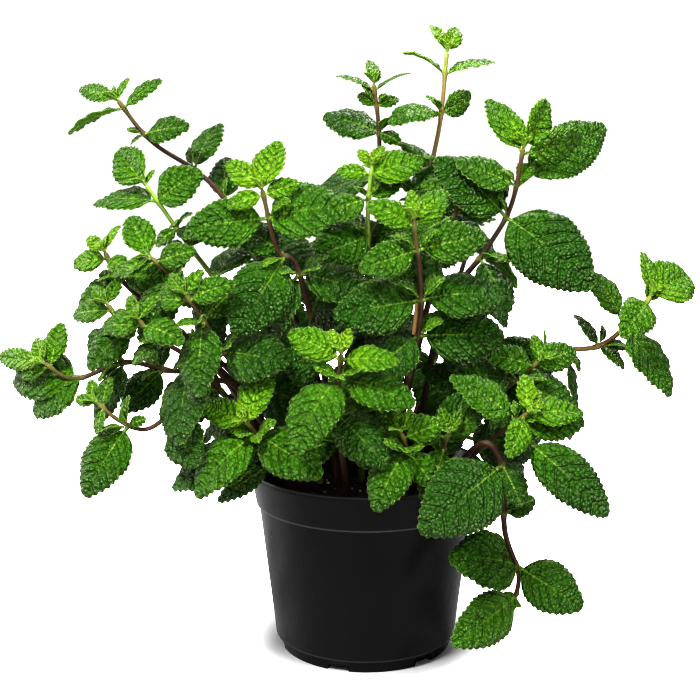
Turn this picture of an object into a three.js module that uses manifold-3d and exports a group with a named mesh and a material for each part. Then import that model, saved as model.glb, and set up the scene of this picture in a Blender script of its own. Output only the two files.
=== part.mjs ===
// A mint plant in a round nursery pot, in millimetres, +Z up.
// The origin is the middle of the pot's underside, where the pot stands.
// Each leafy stem is one solid: a square stem with pairs of toothed leaves fused to it.
import * as THREE from 'three';
import { mergeVertices } from 'three/addons/utils/BufferGeometryUtils.js';
import Module from 'manifold-3d';

const wasm = await Module();
wasm.setup();

// ---------------------------------------------------------------- driving dimensions

const POT = {
  rimRadius: 60,
  height: 95,
  lipHeight: 2.6,
  collarHeight: 18.7,
  collarRadius: 56,
  bodyTopRadius: 54.6,
  bodyFootRadius: 46.4,
  footRadius: 43.8,
  footHeight: 6,
  wall: 1.5,
  floor: 4,
  footStep: 0.4,
  lipOut: 1.2,
  lipWall: 1.9,
  sides: 30,
};
const DRAIN = {
  count: 6,
  firstAngle: 71.3,
  width: 11,
  height: 2.2,
  inner: 15,
  past: 4,
  holeRadius: 3.4,
  holeAt: 33,
};
const SOIL = { surface: 84, gap: 0.4, facetGap: 0.4, edgeGap: 0.9, sides: 20, holeGap: 0.7, holeDepth: 24 };
const STEM = { foot: 1.9, tip: 1.0, root: 22, straight: 4, bare: 14, step: 45, samples: 12 };

// Pairs of leaves counted from the growing tip: how far below the tip they sit, how long the
// blade is, its width as a share of that, its lift from the stem's square section in degrees,
// how strongly it sags, and how much it arches, in radians.
const PAIRS = [
  { below: 1, length: 15, width: 0.56, lift: 52, follow: 0.1, sag: 0, arch: 0.35, fold: 0.5 },
  { below: 5, length: 25, width: 0.62, lift: 28, follow: 0.35, sag: 0, arch: 0.6, fold: 0.35 },
  { below: 17, length: 35, width: 0.67, lift: 14, follow: 0.6, sag: 0.05, arch: 0.65, fold: 0.3 },
  { below: 36, length: 43, width: 0.7, lift: 6, follow: 0.75, sag: 0.2, arch: 0.65, fold: 0.25 },
  { below: 58, length: 45, width: 0.7, lift: 0, follow: 0.75, sag: 0.25, arch: 0.6, fold: 0.25 },
  { below: 82, length: 42, width: 0.7, lift: 0, follow: 0.75, sag: 0.3, arch: 0.5, fold: 0.25 },
  { below: 106, length: 38, width: 0.7, lift: 0, follow: 0.75, sag: 0.3, arch: 0.5, fold: 0.25 },
];
// Where the light comes from: upright, from the front and from outside the bush.
const LIGHT = { up: 0.62, front: 0.42, outward: 0.5 };
const AIMED_LIGHT = { up: 0.55, front: 0.65, outward: 0.35 };
// A blade has one tooth a side, and one more from each of these lengths up.
const TEETH_FROM = [16, 23, 44];
const BLADE = {
  half: 0.65,
  tipThinning: 0.45,
  neck: 0.9,
  stalk: 0.12,
  cup: 0.32,
  toothOut: 1.05,
  toothIn: 0.87,
  crest: 0.62,
  fullness: 0.62,
  widestShift: 0.8,
  tipTaper: 0.2,
};
// How much leaves differ from each other: degrees for bearing and lift, radians for roll and twist,
// and shares of the usual sag, arch and size, from least to least plus this much.
const LOOSE = { bearing: 24, lift: 14, roll: 0.7, twist: 0.5, sag: 1.2, arch: 1, size: 0.2 };
const LEAST = { sag: 0.4, arch: 0.5, size: 0.9 };

// foot: where each stem leaves the soil. path: the points that it grows through up to its tip.
// nodes: how far below the tip its pairs sit. aims: for a leaf that is held in its own way, named
// by pair and side, the bearing that it points to as seen from the front, 0 to the right and 90
// upwards, and its length; then, where they differ, its roll in degrees, its stalk as a share of
// the blade and its width as a share of the usual.
const SHOOTS = [
  {
    name: 'front_rosette',
    foot: [-9, -36],
    path: [[-14, -58, 132], [-12, -72, 167]],
    nodes: [1, 4, 14, 34, 50],
    aims: {
      a0: [115, 13], b0: [68, 13], a1: [158, 28], b1: [0, 27], a2: [232, 43], a3: [330, 36],
      b4: [200, 30],
    },
  },
  {
    name: 'left_front_rosette',
    foot: [-31, -27],
    path: [[-46, -52, 117], [-57, -66, 134]],
    nodes: [1, 4, 12, 24, 36],
    aims: {
      a0: [100, 13], b0: [40, 12], a1: [162, 26], b1: [72, 32], a2: [222, 42], b2: [348, 40],
      a3: [199, 50], b4: [214, 36, 0, 0.3, 0.6],
    },
  },
  {
    name: 'right_rosette',
    foot: [44, -12],
    path: [[54, -44, 114], [75, -62, 137]],
    nodes: [1, 4, 9, 14, 34],
    aims: {
      a0: [97, 19], b0: [60, 13], a1: [2, 30], b1: [248, 24], a2: [356, 34], b2: [145, 38],
      a3: [310, 64, 0, 0.35, 0.68], b3: [350, 38],
    },
  },
  {
    name: 'trailing',
    foot: [41, -24],
    path: [[53, -56, 120], [63, -60, 111], [66, -52, 76], [74, -44, 52], [73, -44, 38.5]],
    nodes: [0.5, 2, 18, 50, 76],
    aims: {
      a0: [230, 9], b0: [190, 8], a1: [210, 44], b1: [200, 13], a2: [166, 36, 0, 0.02, 1.4],
      b2: [325, 38, 0, 0.12, 1.1], a3: [20, 18], b3: [35, 22], a4: [211, 56], b4: [290, 22],
    },
  },
  {
    name: 'front_small',
    foot: [12, -42],
    path: [[18, -62, 116], [15, -70, 130]],
    nodes: [1, 5, 12, 22],
    aims: {
      a0: [100, 13], b0: [60, 12], a1: [150, 23], b1: [18, 21], a2: [235, 34], b2: [325, 23],
      a3: [170, 26],
    },
  },
  {
    name: 'front_right',
    foot: [28, -33],
    path: [[34, -46, 108], [38, -58, 126]],
    nodes: [1, 4, 11, 20],
    aims: {
      a0: [105, 13], b0: [50, 13], a1: [165, 26], b1: [20, 24], a2: [62, 32], b2: [250, 30],
      a3: [200, 32],
    },
  },
  {
    name: 'centre_rosette',
    foot: [8, -14],
    path: [[23, -40, 162], [25, -46, 191], [21, -50, 226]],
    nodes: [1, 5, 16, 40, 58, 80],
    aims: {
      a0: [95, 15], b0: [40, 14], a1: [155, 25], b1: [48, 25], a2: [4, 34], b2: [200, 30],
      a3: [191, 43], b3: [2, 41], a4: [338, 42], b4: [215, 38],
    },
  },
  {
    name: 'upper_left_rosette',
    foot: [-12, -10],
    path: [[-31, -34, 194], [-42, -38, 209], [-49, -42, 239]],
    nodes: [1, 4, 15, 36, 48, 70],
    aims: {
      a0: [146, 24], b0: [72, 26, 0, 0.06, 1.25], a1: [200, 18], b1: [15, 18], a2: [191, 40],
      b2: [7, 38, 0, 0.05, 1.25], a3: [241, 47], b3: [150, 32], a4: [350, 38],
    },
  },
  {
    name: 'upper_right',
    foot: [26, 0],
    path: [[37, -6, 170], [59, -12, 207], [70, -14, 228], [75, -18, 257]],
    nodes: [1, 4, 20, 36, 60, 84],
    aims: {
      a0: [53, 33, 45], b0: [118, 20], a1: [123, 33], b1: [358, 34, 40],
      a2: [30, 67, 0, 0.2, 0.75], b2: [160, 32], a3: [315, 55, 0, 0.06, 1], b3: [150, 46],
      a4: [300, 32],
    },
  },
  {
    name: 'far_right',
    foot: [40, 6],
    path: [[53, 0, 139], [90, -5, 154], [117, -8, 158], [135, -12, 176], [140, -14, 185]],
    nodes: [1, 5, 22, 38, 56, 78],
    aims: {
      a0: [99, 24], b0: [20, 32, 0, 0.06, 1.5], a1: [212, 34], b1: [60, 15], a2: [303, 41],
      b2: [130, 36, -20, 0.3], a3: [322, 18], b3: [125, 20],
    },
  },
  {
    name: 'tall_top',
    foot: [16, 16],
    path: [[26, 24, 160], [32, 28, 232], [38, 28, 268], [41, 28, 303]],
    nodes: [1, 12.5, 32, 56, 80, 104],
    aims: {
      a0: [118, 19], b0: [60, 19], a1: [149, 25, 50], b1: [18, 29, -50], a2: [20, 22, 30],
      b2: [186, 33, 45],
    },
  },
  {
    name: 'top_middle',
    foot: [2, 22],
    path: [[7, 32, 201], [7, 34, 258], [4, 34, 287]],
    nodes: [1, 4.5, 12.5, 26, 48, 72],
    aims: {
      a0: [95, 17], b0: [70, 10], a1: [156, 22, 50], b1: [30, 22, -45], a2: [155, 13],
      b2: [15, 13], a3: [163, 31, 0, 0.04, 1.1], b3: [330, 14],
    },
  },
  {
    name: 'top_left',
    foot: [-16, 8],
    path: [[-33, 5, 163], [-72, 8, 231], [-106, 5, 258], [-122, 0, 279]],
    nodes: [1, 6, 22, 52, 74, 98],
    aims: {
      a0: [168, 29, 0, 0.12, 0.65], b0: [65, 13], a1: [35, 24, -30], b1: [202, 31, 45],
      a2: [8, 27], b2: [215, 9], a3: [61, 29], b3: [240, 10], a4: [90, 28], b4: [235, 20],
    },
  },
  {
    name: 'left_long',
    foot: [-46, 3],
    path: [[-65, -10, 145], [-95, -14, 146], [-119, -16, 151], [-144, -18, 143], [-159, -20, 152]],
    nodes: [1, 5, 22, 44, 64],
    aims: {
      a0: [184, 34, 0, 0.12, 0.65], b0: [122, 17], a1: [77, 24], b1: [194, 24], a2: [190, 45],
      b2: [203, 32, 0, 0.08, 1.2], a3: [248, 34], b3: [140, 30], a4: [70, 32], b4: [228, 29],
    },
  },
  {
    name: 'left_loop',
    foot: [-37, -25],
    path: [
      [-60, -42, 142], [-81, -46, 146], [-93, -48, 133], [-105, -48, 125], [-118, -46, 129],
      [-129, -44, 138],
    ],
    nodes: [1, 5, 20, 46],
    aims: {
      a0: [180, 13], b0: [115, 13], a1: [262, 14], b1: [80, 16], a2: [243, 39.5], b2: [20, 10],
      a3: [297, 36, 0, 0.4, 1.2], b3: [100, 14],
    },
  },
  {
    name: 'left_green',
    foot: [-24, 2],
    path: [[-52, -8, 156], [-71, -12, 187], [-86, -14, 208], [-107, -16, 239]],
    nodes: [1, 11, 27, 38, 62, 84],
    aims: {
      a0: [122, 30, 0, 0.12, 1.3], b0: [60, 9], a1: [181, 36, 40], b1: [28, 27, 0, 0.06, 1.35],
      a2: [345, 16], b2: [225, 14], a3: [222, 30], b3: [60, 12],
    },
  },
  {
    name: 'left_high',
    foot: [-33, 14],
    path: [[-78, -5, 150], [-117, -22, 191], [-126, -26, 208]],
    aims: {
      a0: [150, 15], b0: [60, 15], a1: [195, 20], b1: [340, 18], a2: [214, 25],
    },
  },
  {
    name: 'left_upper',
    foot: [-28, -8],
    path: [[-63, -32, 184], [-86, -38, 193], [-102, -42, 207]],
    aims: {
      a0: [122, 27, 0, 0.12, 1.15], b0: [212, 18], a1: [200, 22], b1: [10, 22], a2: [215, 38],
      b2: [300, 22],
    },
  },
  {
    name: 'left_middle',
    foot: [-43, -7],
    path: [[-81, -22, 158], [-115, -34, 174], [-124, -36, 184]],
    aims: {
      a0: [140, 14], b0: [60, 14], a1: [190, 22], b1: [320, 22], a2: [228, 30],
    },
  },
  {
    name: 'left_middle_low',
    foot: [-39, -16],
    path: [[-79, -40, 152], [-99, -52, 170], [-106, -56, 180]],
    aims: {
      a0: [120, 14], b0: [50, 14], a1: [185, 22], b1: [350, 26], a2: [170, 25], b4: [225, 22],
      b5: [235, 32],
    },
  },
  {
    name: 'left_centre',
    foot: [-30, -18],
    path: [[-71, -50, 169], [-84, -58, 192]],
    aims: {
      a0: [120, 14], b0: [50, 14], a1: [160, 24], b1: [20, 24], a2: [268, 38], b2: [30, 30],
      b3: [352, 36, 0, 0.1, 1.2],
    },
  },
  {
    name: 'top_middle_low',
    foot: [-2, 6],
    path: [[1, 10, 197], [1, 12, 225], [3, 12, 246]],
    aims: {
      a0: [130, 13], b0: [60, 15], a1: [176, 18], b1: [14, 29, 0, 0.04, 1.25], a2: [200, 30],
      b2: [30, 24], a3: [205, 34, 0, 0.05, 1.2],
    },
  },
  {
    name: 'centre_upper_right',
    foot: [14, 2],
    path: [[36, -10, 201], [49, -12, 238]],
    aims: {
      a0: [120, 14], b0: [50, 14], a1: [170, 22], b1: [33, 27], a2: [205, 34], b2: [350, 36],
    },
  },
  {
    name: 'right_middle',
    foot: [38, -4],
    path: [[61, -20, 130], [84, -30, 155]],
    aims: {
      a0: [100, 14], b0: [40, 14], a1: [170, 26], b1: [10, 26], a2: [205, 36], b2: [330, 34],
      a3: [150, 40],
    },
  },
  { name: 'back_left', foot: [-20, 30], path: [[-45, 60, 150], [-58, 74, 200]] },
  { name: 'back_middle', foot: [0, 38], path: [[2, 70, 150], [5, 88, 205]] },
  { name: 'back_right', foot: [22, 32], path: [[45, 58, 160], [62, 70, 215]] },
  { name: 'back_low_left', foot: [-31, 24], path: [[-70, 45, 130], [-92, 56, 150]] },
  { name: 'back_low_right', foot: [40, 20], path: [[72, 42, 122], [97, 52, 140]] },
  {
    name: 'back_low',
    foot: [14, 44],
    path: [[20, 78, 120], [24, 98, 142]],
    nodes: [1, 5, 17],
  },
];

const DEG = Math.PI / 180;
const Z = new THREE.Vector3(0, 0, 1);

// ---------------------------------------------------------------- solids

function solidOf(geometry) {
  const bare = geometry.clone();
  bare.deleteAttribute('normal');
  bare.deleteAttribute('uv');
  const merged = mergeVertices(bare, 1e-4);
  return new wasm.Manifold(new wasm.Mesh({
    numProp: 3,
    vertProperties: merged.attributes.position.array,
    triVerts: new Uint32Array(merged.index.array),
  }));
}

function geometryOf(solid) {
  const { vertProperties, triVerts } = solid.getMesh();
  const geometry = new THREE.BufferGeometry();
  geometry.setAttribute('position', new THREE.BufferAttribute(vertProperties, 3));
  geometry.setIndex(new THREE.BufferAttribute(triVerts, 1));
  return geometry;
}

function solidFrom(points, faces) {
  const geometry = new THREE.BufferGeometry();
  geometry.setAttribute('position', new THREE.Float32BufferAttribute(points.flatMap((p) => p.toArray()), 3));
  geometry.setIndex(faces.flat());
  return solidOf(geometry);
}

// A LatheGeometry turns about Y, so it is tipped up to stand along Z.
function turned(profile, sides) {
  const points = profile.map(([r, z]) => new THREE.Vector2(r, z));
  return new THREE.LatheGeometry(points, sides).rotateX(Math.PI / 2);
}

// ---------------------------------------------------------------- pot and soil

function potSolid() {
  const p = POT;
  const collarFoot = p.height - p.collarHeight;
  const lipFoot = p.height - p.lipHeight;
  const profile = [
    [0, 0],
    [p.footRadius, 0],
    [p.footRadius, p.footHeight - p.footStep],
    [p.bodyFootRadius, p.footHeight],
    [p.bodyTopRadius, collarFoot],
    [p.collarRadius, collarFoot],
    [p.rimRadius - p.lipOut, lipFoot],
    [p.rimRadius, lipFoot],
    [p.rimRadius, p.height],
    [p.rimRadius - p.lipWall, p.height],
    [p.collarRadius - p.wall, collarFoot + p.wall],
    [p.bodyTopRadius - p.wall, collarFoot - p.wall],
    [p.bodyFootRadius - p.wall, p.footHeight + p.floor],
    [p.footRadius - p.wall, p.floor],
    [0, p.floor],
  ];
  let pot = solidOf(turned(profile, p.sides));
  for (let i = 0; i < DRAIN.count; i += 1) {
    const bearing = (DRAIN.firstAngle + (i * 360) / DRAIN.count) * DEG;
    const length = p.footRadius + DRAIN.past - DRAIN.inner;
    const channel = new THREE.BoxGeometry(length, DRAIN.width, DRAIN.height * 2);
    channel.translate(DRAIN.inner + length / 2, 0, 0).rotateZ(bearing);
    const hole = new THREE.CylinderGeometry(DRAIN.holeRadius, DRAIN.holeRadius, p.floor * 3, 8);
    hole.rotateX(Math.PI / 2).translate(DRAIN.holeAt, 0, 0).rotateZ(bearing);
    pot = pot.subtract(solidOf(channel)).subtract(solidOf(hole));
  }
  return pot;
}

function soilSolid() {
  const collarFoot = POT.height - POT.collarHeight;
  const inset = POT.wall + SOIL.gap;
  const flare = (POT.rimRadius - POT.lipWall - POT.collarRadius + POT.wall) / (POT.collarHeight - POT.wall);
  const edge = POT.collarRadius - inset + (SOIL.surface - collarFoot - POT.wall) * flare;
  const profile = [
    [0, POT.floor + SOIL.gap],
    [POT.footRadius - inset - SOIL.facetGap, POT.floor + SOIL.gap],
    [POT.bodyFootRadius - inset - SOIL.facetGap, POT.footHeight + POT.floor + SOIL.gap],
    [POT.bodyTopRadius - inset - SOIL.facetGap, collarFoot - POT.wall],
    [edge - SOIL.edgeGap, SOIL.surface],
    [0, SOIL.surface],
  ];
  let soil = solidOf(turned(profile, SOIL.sides));
  const wide = STEM.foot + SOIL.holeGap;
  for (const { foot } of SHOOTS) {
    const hole = new THREE.CylinderGeometry(wide, wide, SOIL.holeDepth * 2, 4).rotateX(Math.PI / 2);
    hole.translate(foot[0], foot[1], SOIL.surface);
    soil = soil.subtract(solidOf(hole));
  }
  return soil;
}

// ---------------------------------------------------------------- stems

// Points and frames along a stem: a straight foot in the soil, then a smooth curve to the tip.
function stemLine(shoot) {
  const [x, y] = shoot.foot;
  const ground = new THREE.Vector3(x, y, SOIL.surface + STEM.straight);
  const knots = [ground, ...shoot.path.map((p) => new THREE.Vector3(...p))];
  const before = ground.clone().addScaledVector(Z, -knots[0].distanceTo(knots[1]));
  const last = knots.length - 1;
  const after = knots[last].clone().multiplyScalar(2).sub(knots[last - 1]);
  const all = [before, ...knots, after];
  const points = [new THREE.Vector3(x, y, SOIL.surface - STEM.root), ground.clone()];
  for (let i = 0; i < last; i += 1) {
    const [a, b, c, d] = all.slice(i, i + 4);
    for (let j = 1; j <= STEM.samples; j += 1) {
      const u = j / STEM.samples;
      const point = b.clone().multiplyScalar(2);
      point.addScaledVector(c.clone().sub(a), u);
      const bend = a.clone().multiplyScalar(2).addScaledVector(b, -5).addScaledVector(c, 4).sub(d);
      point.addScaledVector(bend, u * u);
      point.addScaledVector(b.clone().multiplyScalar(3).sub(a).addScaledVector(c, -3).add(d), u ** 3);
      points.push(point.multiplyScalar(0.5));
    }
  }
  const lengths = [0];
  points.slice(1).forEach((p, i) => lengths.push(lengths[i] + p.distanceTo(points[i])));
  const side = new THREE.Vector3(1, 0, 0);
  const frames = points.map((p, i) => {
    const ahead = points[Math.min(i + 1, points.length - 1)];
    const behind = points[Math.max(i - 1, 0)];
    const along = ahead.clone().sub(behind).normalize();
    side.addScaledVector(along, -side.dot(along)).normalize();
    return { along, side: side.clone() };
  });
  return { points, lengths, frames, length: lengths[lengths.length - 1] };
}

function stemAt(line, distance) {
  const upTo = line.lengths.findIndex((l) => l >= distance);
  const i = Math.max(upTo, 1);
  const share = (distance - line.lengths[i - 1]) / (line.lengths[i] - line.lengths[i - 1]);
  const point = line.points[i - 1].clone().lerp(line.points[i], share);
  const along = line.frames[i - 1].along.clone().lerp(line.frames[i].along, share).normalize();
  const side = line.frames[i - 1].side.clone().lerp(line.frames[i].side, share);
  side.addScaledVector(along, -side.dot(along)).normalize();
  return { point, along, side };
}

// A ring stands at every node, so that each leaf starts inside the stem.
function stemSolid(shoot, line) {
  const marks = [0, STEM.root];
  for (let pair = pairsOf(shoot) - 1; pair >= 0; pair -= 1) {
    const mark = line.length - nodeBelow(shoot, pair);
    if (mark > STEM.root + STEM.straight) marks.push(mark);
  }
  marks.push(line.length);
  const rings = marks.flatMap((mark, i) => {
    const gap = i > 0 ? mark - marks[i - 1] : 0;
    const parts = Math.max(1, Math.ceil(gap / STEM.step));
    return Array.from({ length: parts }, (_, j) => mark - gap + (gap * (j + 1)) / parts);
  });
  const corners = 4;
  const points = [];
  const faces = [];
  for (let i = 0; i < rings.length; i += 1) {
    const { point, along, side } = stemAt(line, rings[i]);
    const across = along.clone().cross(side);
    const half = STEM.foot + ((STEM.tip - STEM.foot) * rings[i]) / line.length;
    for (let j = 0; j < corners; j += 1) {
      const angle = (j * Math.PI) / 2;
      const corner = point.clone().addScaledVector(side, half * Math.cos(angle));
      points.push(corner.addScaledVector(across, half * Math.sin(angle)));
      if (i > 0) {
        const a = (i - 1) * corners + j;
        const b = (i - 1) * corners + ((j + 1) % corners);
        faces.push([a, b, a + corners], [b, b + corners, a + corners]);
      }
    }
  }
  const top = (rings.length - 1) * corners;
  faces.push([0, 2, 1], [0, 3, 2], [top, top + 1, top + 2], [top, top + 2, top + 3]);
  return solidFrom(points, faces);
}

// ---------------------------------------------------------------- leaves

// A small repeatable source of numbers from 0 to 1.
function randomSource(seed) {
  let state = seed >>> 0;
  return () => {
    state = (state + 0x6d2b79f5) >>> 0;
    let t = state;
    t = Math.imul(t ^ (t >>> 15), t | 1);
    t ^= t + Math.imul(t ^ (t >>> 7), t | 61);
    return ((t ^ (t >>> 14)) >>> 0) / 4294967296;
  };
}

function lightAt(point, { up, front, outward }) {
  const light = new THREE.Vector3(point.x, point.y, 0).multiplyScalar(outward / 100);
  return light.add(new THREE.Vector3(0, -front, up)).normalize();
}

// How a leaf of a pair leaves its stem: out from it, lifted, turned to the light and sagging.
function freeHold(node, kind, pair, sideOf, draw, change) {
  const across = node.along.clone().cross(node.side);
  const bearing = (pair * 90 + sideOf * 180 + change.turn + LOOSE.bearing * (draw[0] - 0.5)) * DEG;
  const out = node.side.clone().multiplyScalar(Math.cos(bearing)).addScaledVector(across, Math.sin(bearing));
  const lift = (kind.lift + LOOSE.lift * (draw[1] - 0.5)) * DEG;
  const ahead = out.clone().multiplyScalar(Math.cos(lift)).addScaledVector(node.along, Math.sin(lift));
  const light = lightAt(node.point, LIGHT);
  ahead.addScaledVector(light, -kind.follow * ahead.dot(light));
  const sag = kind.sag * (LEAST.sag + LOOSE.sag * draw[2]) + change.sag;
  ahead.addScaledVector(Z, -sag).normalize();
  const up = node.along.clone().multiplyScalar(Math.cos(lift)).addScaledVector(out, -Math.sin(lift));
  up.multiplyScalar(1 - kind.follow).addScaledVector(light, kind.follow);
  return { ahead, up };
}

// How an aimed leaf is held: seen from the front at its bearing, and square to the light.
function aimedHold(node, bearing, arch, change) {
  const angle = (bearing + change.turn) * DEG;
  const up = lightAt(node.point, AIMED_LIGHT);
  const ahead = new THREE.Vector3(Math.cos(angle), 0, Math.sin(angle));
  ahead.y = -(ahead.x * up.x + ahead.z * up.z) / up.y;
  ahead.normalize().addScaledVector(up, Math.tan(arch / 2) - 0.5 * change.sag).normalize();
  return { ahead, up };
}

// A leaf as a point, three directions and its sizes. change says how it gives way to neighbours.
function leafPose(shoot, line, pair, sideOf, draw, change) {
  const kind = PAIRS[pair];
  const node = stemAt(line, line.length - nodeBelow(shoot, pair));
  const aim = shoot.aims?.[leafName(pair, sideOf)];
  const [bearing, reach, turned = 0, stalk = BLADE.stalk, broad = 1] = aim ?? [];
  const arch = kind.arch * (LEAST.arch + LOOSE.arch * draw[5]);
  const { ahead, up } = aim
    ? aimedHold(node, bearing, arch, change)
    : freeHold(node, kind, pair, sideOf, draw, change);
  up.addScaledVector(ahead, -up.dot(ahead)).normalize();
  const wide = ahead.clone().cross(up);
  const roll = LOOSE.roll * (draw[3] - 0.5) + turned * DEG;
  const tilted = up.clone().multiplyScalar(Math.cos(roll)).addScaledVector(wide, Math.sin(roll));
  const usual = kind.length * (LEAST.size + LOOSE.size * draw[4]);
  const length = (aim ? reach / (1 + stalk) : usual) * change.size;
  return {
    shoot: shoot.name,
    pair,
    sideOf,
    root: node.point,
    ahead,
    up: tilted,
    wide: ahead.clone().cross(tilted),
    length,
    width: length * kind.width * broad,
    stalk: length * stalk,
    arch,
    fold: kind.fold,
    twist: LOOSE.twist * (draw[6] - 0.5),
    teeth: teethFor(length),
  };
}

function teethFor(length) {
  return 1 + TEETH_FROM.filter((from) => length >= from).length;
}

function pairsOf(shoot) {
  return shoot.nodes?.length ?? PAIRS.length;
}

function nodeBelow(shoot, pair) {
  return shoot.nodes?.[pair] ?? PAIRS[pair].below;
}

function leafName(pair, sideOf) {
  return 'ab'[sideOf] + pair;
}

// Half the blade's width as a share of its widest, at a share t of its length.
function outline(t) {
  if (t >= 1) return 0;
  return Math.sin(Math.PI * t ** BLADE.widestShift) ** BLADE.fullness * (1 - BLADE.tipTaper * t ** 3);
}

// A point of the blade: t along the rib from 0 to 1, v across it from -1 to 1, lifted by rise.
function bladePoint(leaf, t, v, halfWidth, rise) {
  const turn = leaf.arch * t;
  const point = leaf.root.clone();
  point.addScaledVector(leaf.ahead, leaf.stalk + (leaf.length * Math.sin(turn)) / leaf.arch);
  point.addScaledVector(leaf.up, (-leaf.length * (1 - Math.cos(turn))) / leaf.arch);
  const normal = leaf.up.clone().multiplyScalar(Math.cos(turn)).addScaledVector(leaf.ahead, Math.sin(turn));
  const twist = leaf.twist * t;
  const wide = leaf.wide.clone().multiplyScalar(Math.cos(twist)).addScaledVector(normal, Math.sin(twist));
  normal.multiplyScalar(Math.cos(twist)).addScaledVector(leaf.wide, -Math.sin(twist));
  const lifted = halfWidth * (leaf.fold * Math.abs(v) - BLADE.cup * v * v);
  return point.addScaledVector(wide, v * halfWidth).addScaledVector(normal, lifted + rise);
}

// The blade: a rib line above and below, and a toothed outline that both faces share.
function leafSolid(leaf) {
  const { teeth } = leaf;
  const points = [leaf.root.clone()];
  const faces = [];
  const add = (...spec) => points.push(bladePoint(leaf, ...spec)) - 1;
  const half = leaf.width / 2;
  const over = [];
  const under = [];
  for (let j = 0; j < teeth; j += 1) {
    const t = j / teeth;
    const thick = BLADE.half * (1 - BLADE.tipThinning * t);
    over.push(add(t, 0, 0, thick));
    under.push(add(t, 0, 0, -thick));
  }
  const end = add(1, 0, 0, 0);
  for (const v of [1, -1]) {
    const valley = [];
    const peak = [];
    for (let j = 0; j < teeth; j += 1) {
      const t = j / teeth;
      const crest = (j + BLADE.crest) / teeth;
      valley.push(add(t, v, j === 0 ? BLADE.neck : half * outline(t) * BLADE.toothIn, 0));
      peak.push(add(crest, v, half * outline(crest) * BLADE.toothOut, 0));
    }
    const face = (a, b, c) => faces.push(v > 0 ? [a, b, c] : [a, c, b]);
    face(0, valley[0], over[0]);
    face(0, under[0], valley[0]);
    for (let j = 0; j < teeth; j += 1) {
      const last = j === teeth - 1;
      const next = last ? end : valley[j + 1];
      face(over[j], valley[j], peak[j]);
      face(over[j], peak[j], next);
      face(under[j], peak[j], valley[j]);
      face(under[j], next, peak[j]);
      if (!last) {
        face(over[j], next, over[j + 1]);
        face(under[j], under[j + 1], next);
      }
    }
  }
  return solidFrom(points, faces);
}

// ---------------------------------------------------------------- room for every leaf

const ROWS = 8;
const COLUMNS = 7;
// Gaps that leaves keep: from other stems, from leaves of other shoots and from those of their own.
const ROOM = {
  stem: 2.2,
  share: 0.55,
  gap: 1.2,
  ownShare: 0.4,
  ownGap: 0.5,
  ownFreeRows: 3,
  span: 0.75,
  spotEvery: 3,
};
const CLEAR = { ground: 2.5, inside: 54, soil: 5, rim: 3 };
const SEED = { first: 1000, step: 37 };
const CHANGES = [
  { turn: 0, sag: 0, size: 1 },
  { turn: 16, sag: 0, size: 1 },
  { turn: -16, sag: 0, size: 1 },
  { turn: 0, sag: 0.3, size: 1 },
  { turn: 0, sag: -0.3, size: 1 },
  { turn: 32, sag: -0.2, size: 0.95 },
  { turn: -32, sag: -0.2, size: 0.95 },
  { turn: 20, sag: 0.4, size: 0.85 },
  { turn: -20, sag: 0.4, size: 0.85 },
  { turn: 0, sag: -0.5, size: 0.8 },
  { turn: 45, sag: 0, size: 0.7 },
  { turn: -45, sag: 0, size: 0.7 },
];

// Points spread over the blade, and half the diagonal of the patch that each stands for.
function leafPatches(leaf) {
  const points = [];
  for (let i = 1; i <= ROWS; i += 1) {
    const t = i / ROWS;
    for (let j = 0; j < COLUMNS; j += 1) {
      const v = (2 * j) / (COLUMNS - 1) - 1;
      points.push(bladePoint(leaf, t, v, (leaf.width / 2) * outline(t), 0));
    }
  }
  const reach = 0.5 * Math.hypot(leaf.length / ROWS, leaf.width / (COLUMNS - 1));
  const middle = bladePoint(leaf, 0.5, 0, 0, 0);
  return { points, reach, middle, radius: leaf.length * ROOM.span };
}

function clearOfPot(p) {
  const r = Math.hypot(p.x, p.y);
  if (p.z < CLEAR.ground) return false;
  if (r < CLEAR.inside) return p.z > SOIL.surface + CLEAR.soil;
  return r > POT.rimRadius + CLEAR.rim || p.z > POT.height + CLEAR.rim;
}

function near(a, b, gap, from = 0) {
  return a.slice(from).some((p) => b.slice(from).some((q) => p.distanceToSquared(q) < gap * gap));
}

function hasRoom(leaf, patches, placed, lines) {
  if (!patches.points.every(clearOfPot)) return false;
  for (const line of lines) {
    if (line.name === leaf.shoot) continue;
    if (near(patches.points, line.spots, patches.reach + ROOM.stem)) return false;
  }
  for (const other of placed) {
    const span = patches.radius + other.patches.radius;
    if (patches.middle.distanceTo(other.patches.middle) > span) continue;
    const both = patches.reach + other.patches.reach;
    if (other.leaf.shoot !== leaf.shoot) {
      if (near(patches.points, other.patches.points, ROOM.share * both + ROOM.gap)) return false;
    } else if (leaf.pair > 1 && other.leaf.pair > 1) {
      const gap = ROOM.ownShare * both + ROOM.ownGap;
      if (near(patches.points, other.patches.points, gap, ROOM.ownFreeRows * COLUMNS)) return false;
    }
  }
  return true;
}

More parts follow.
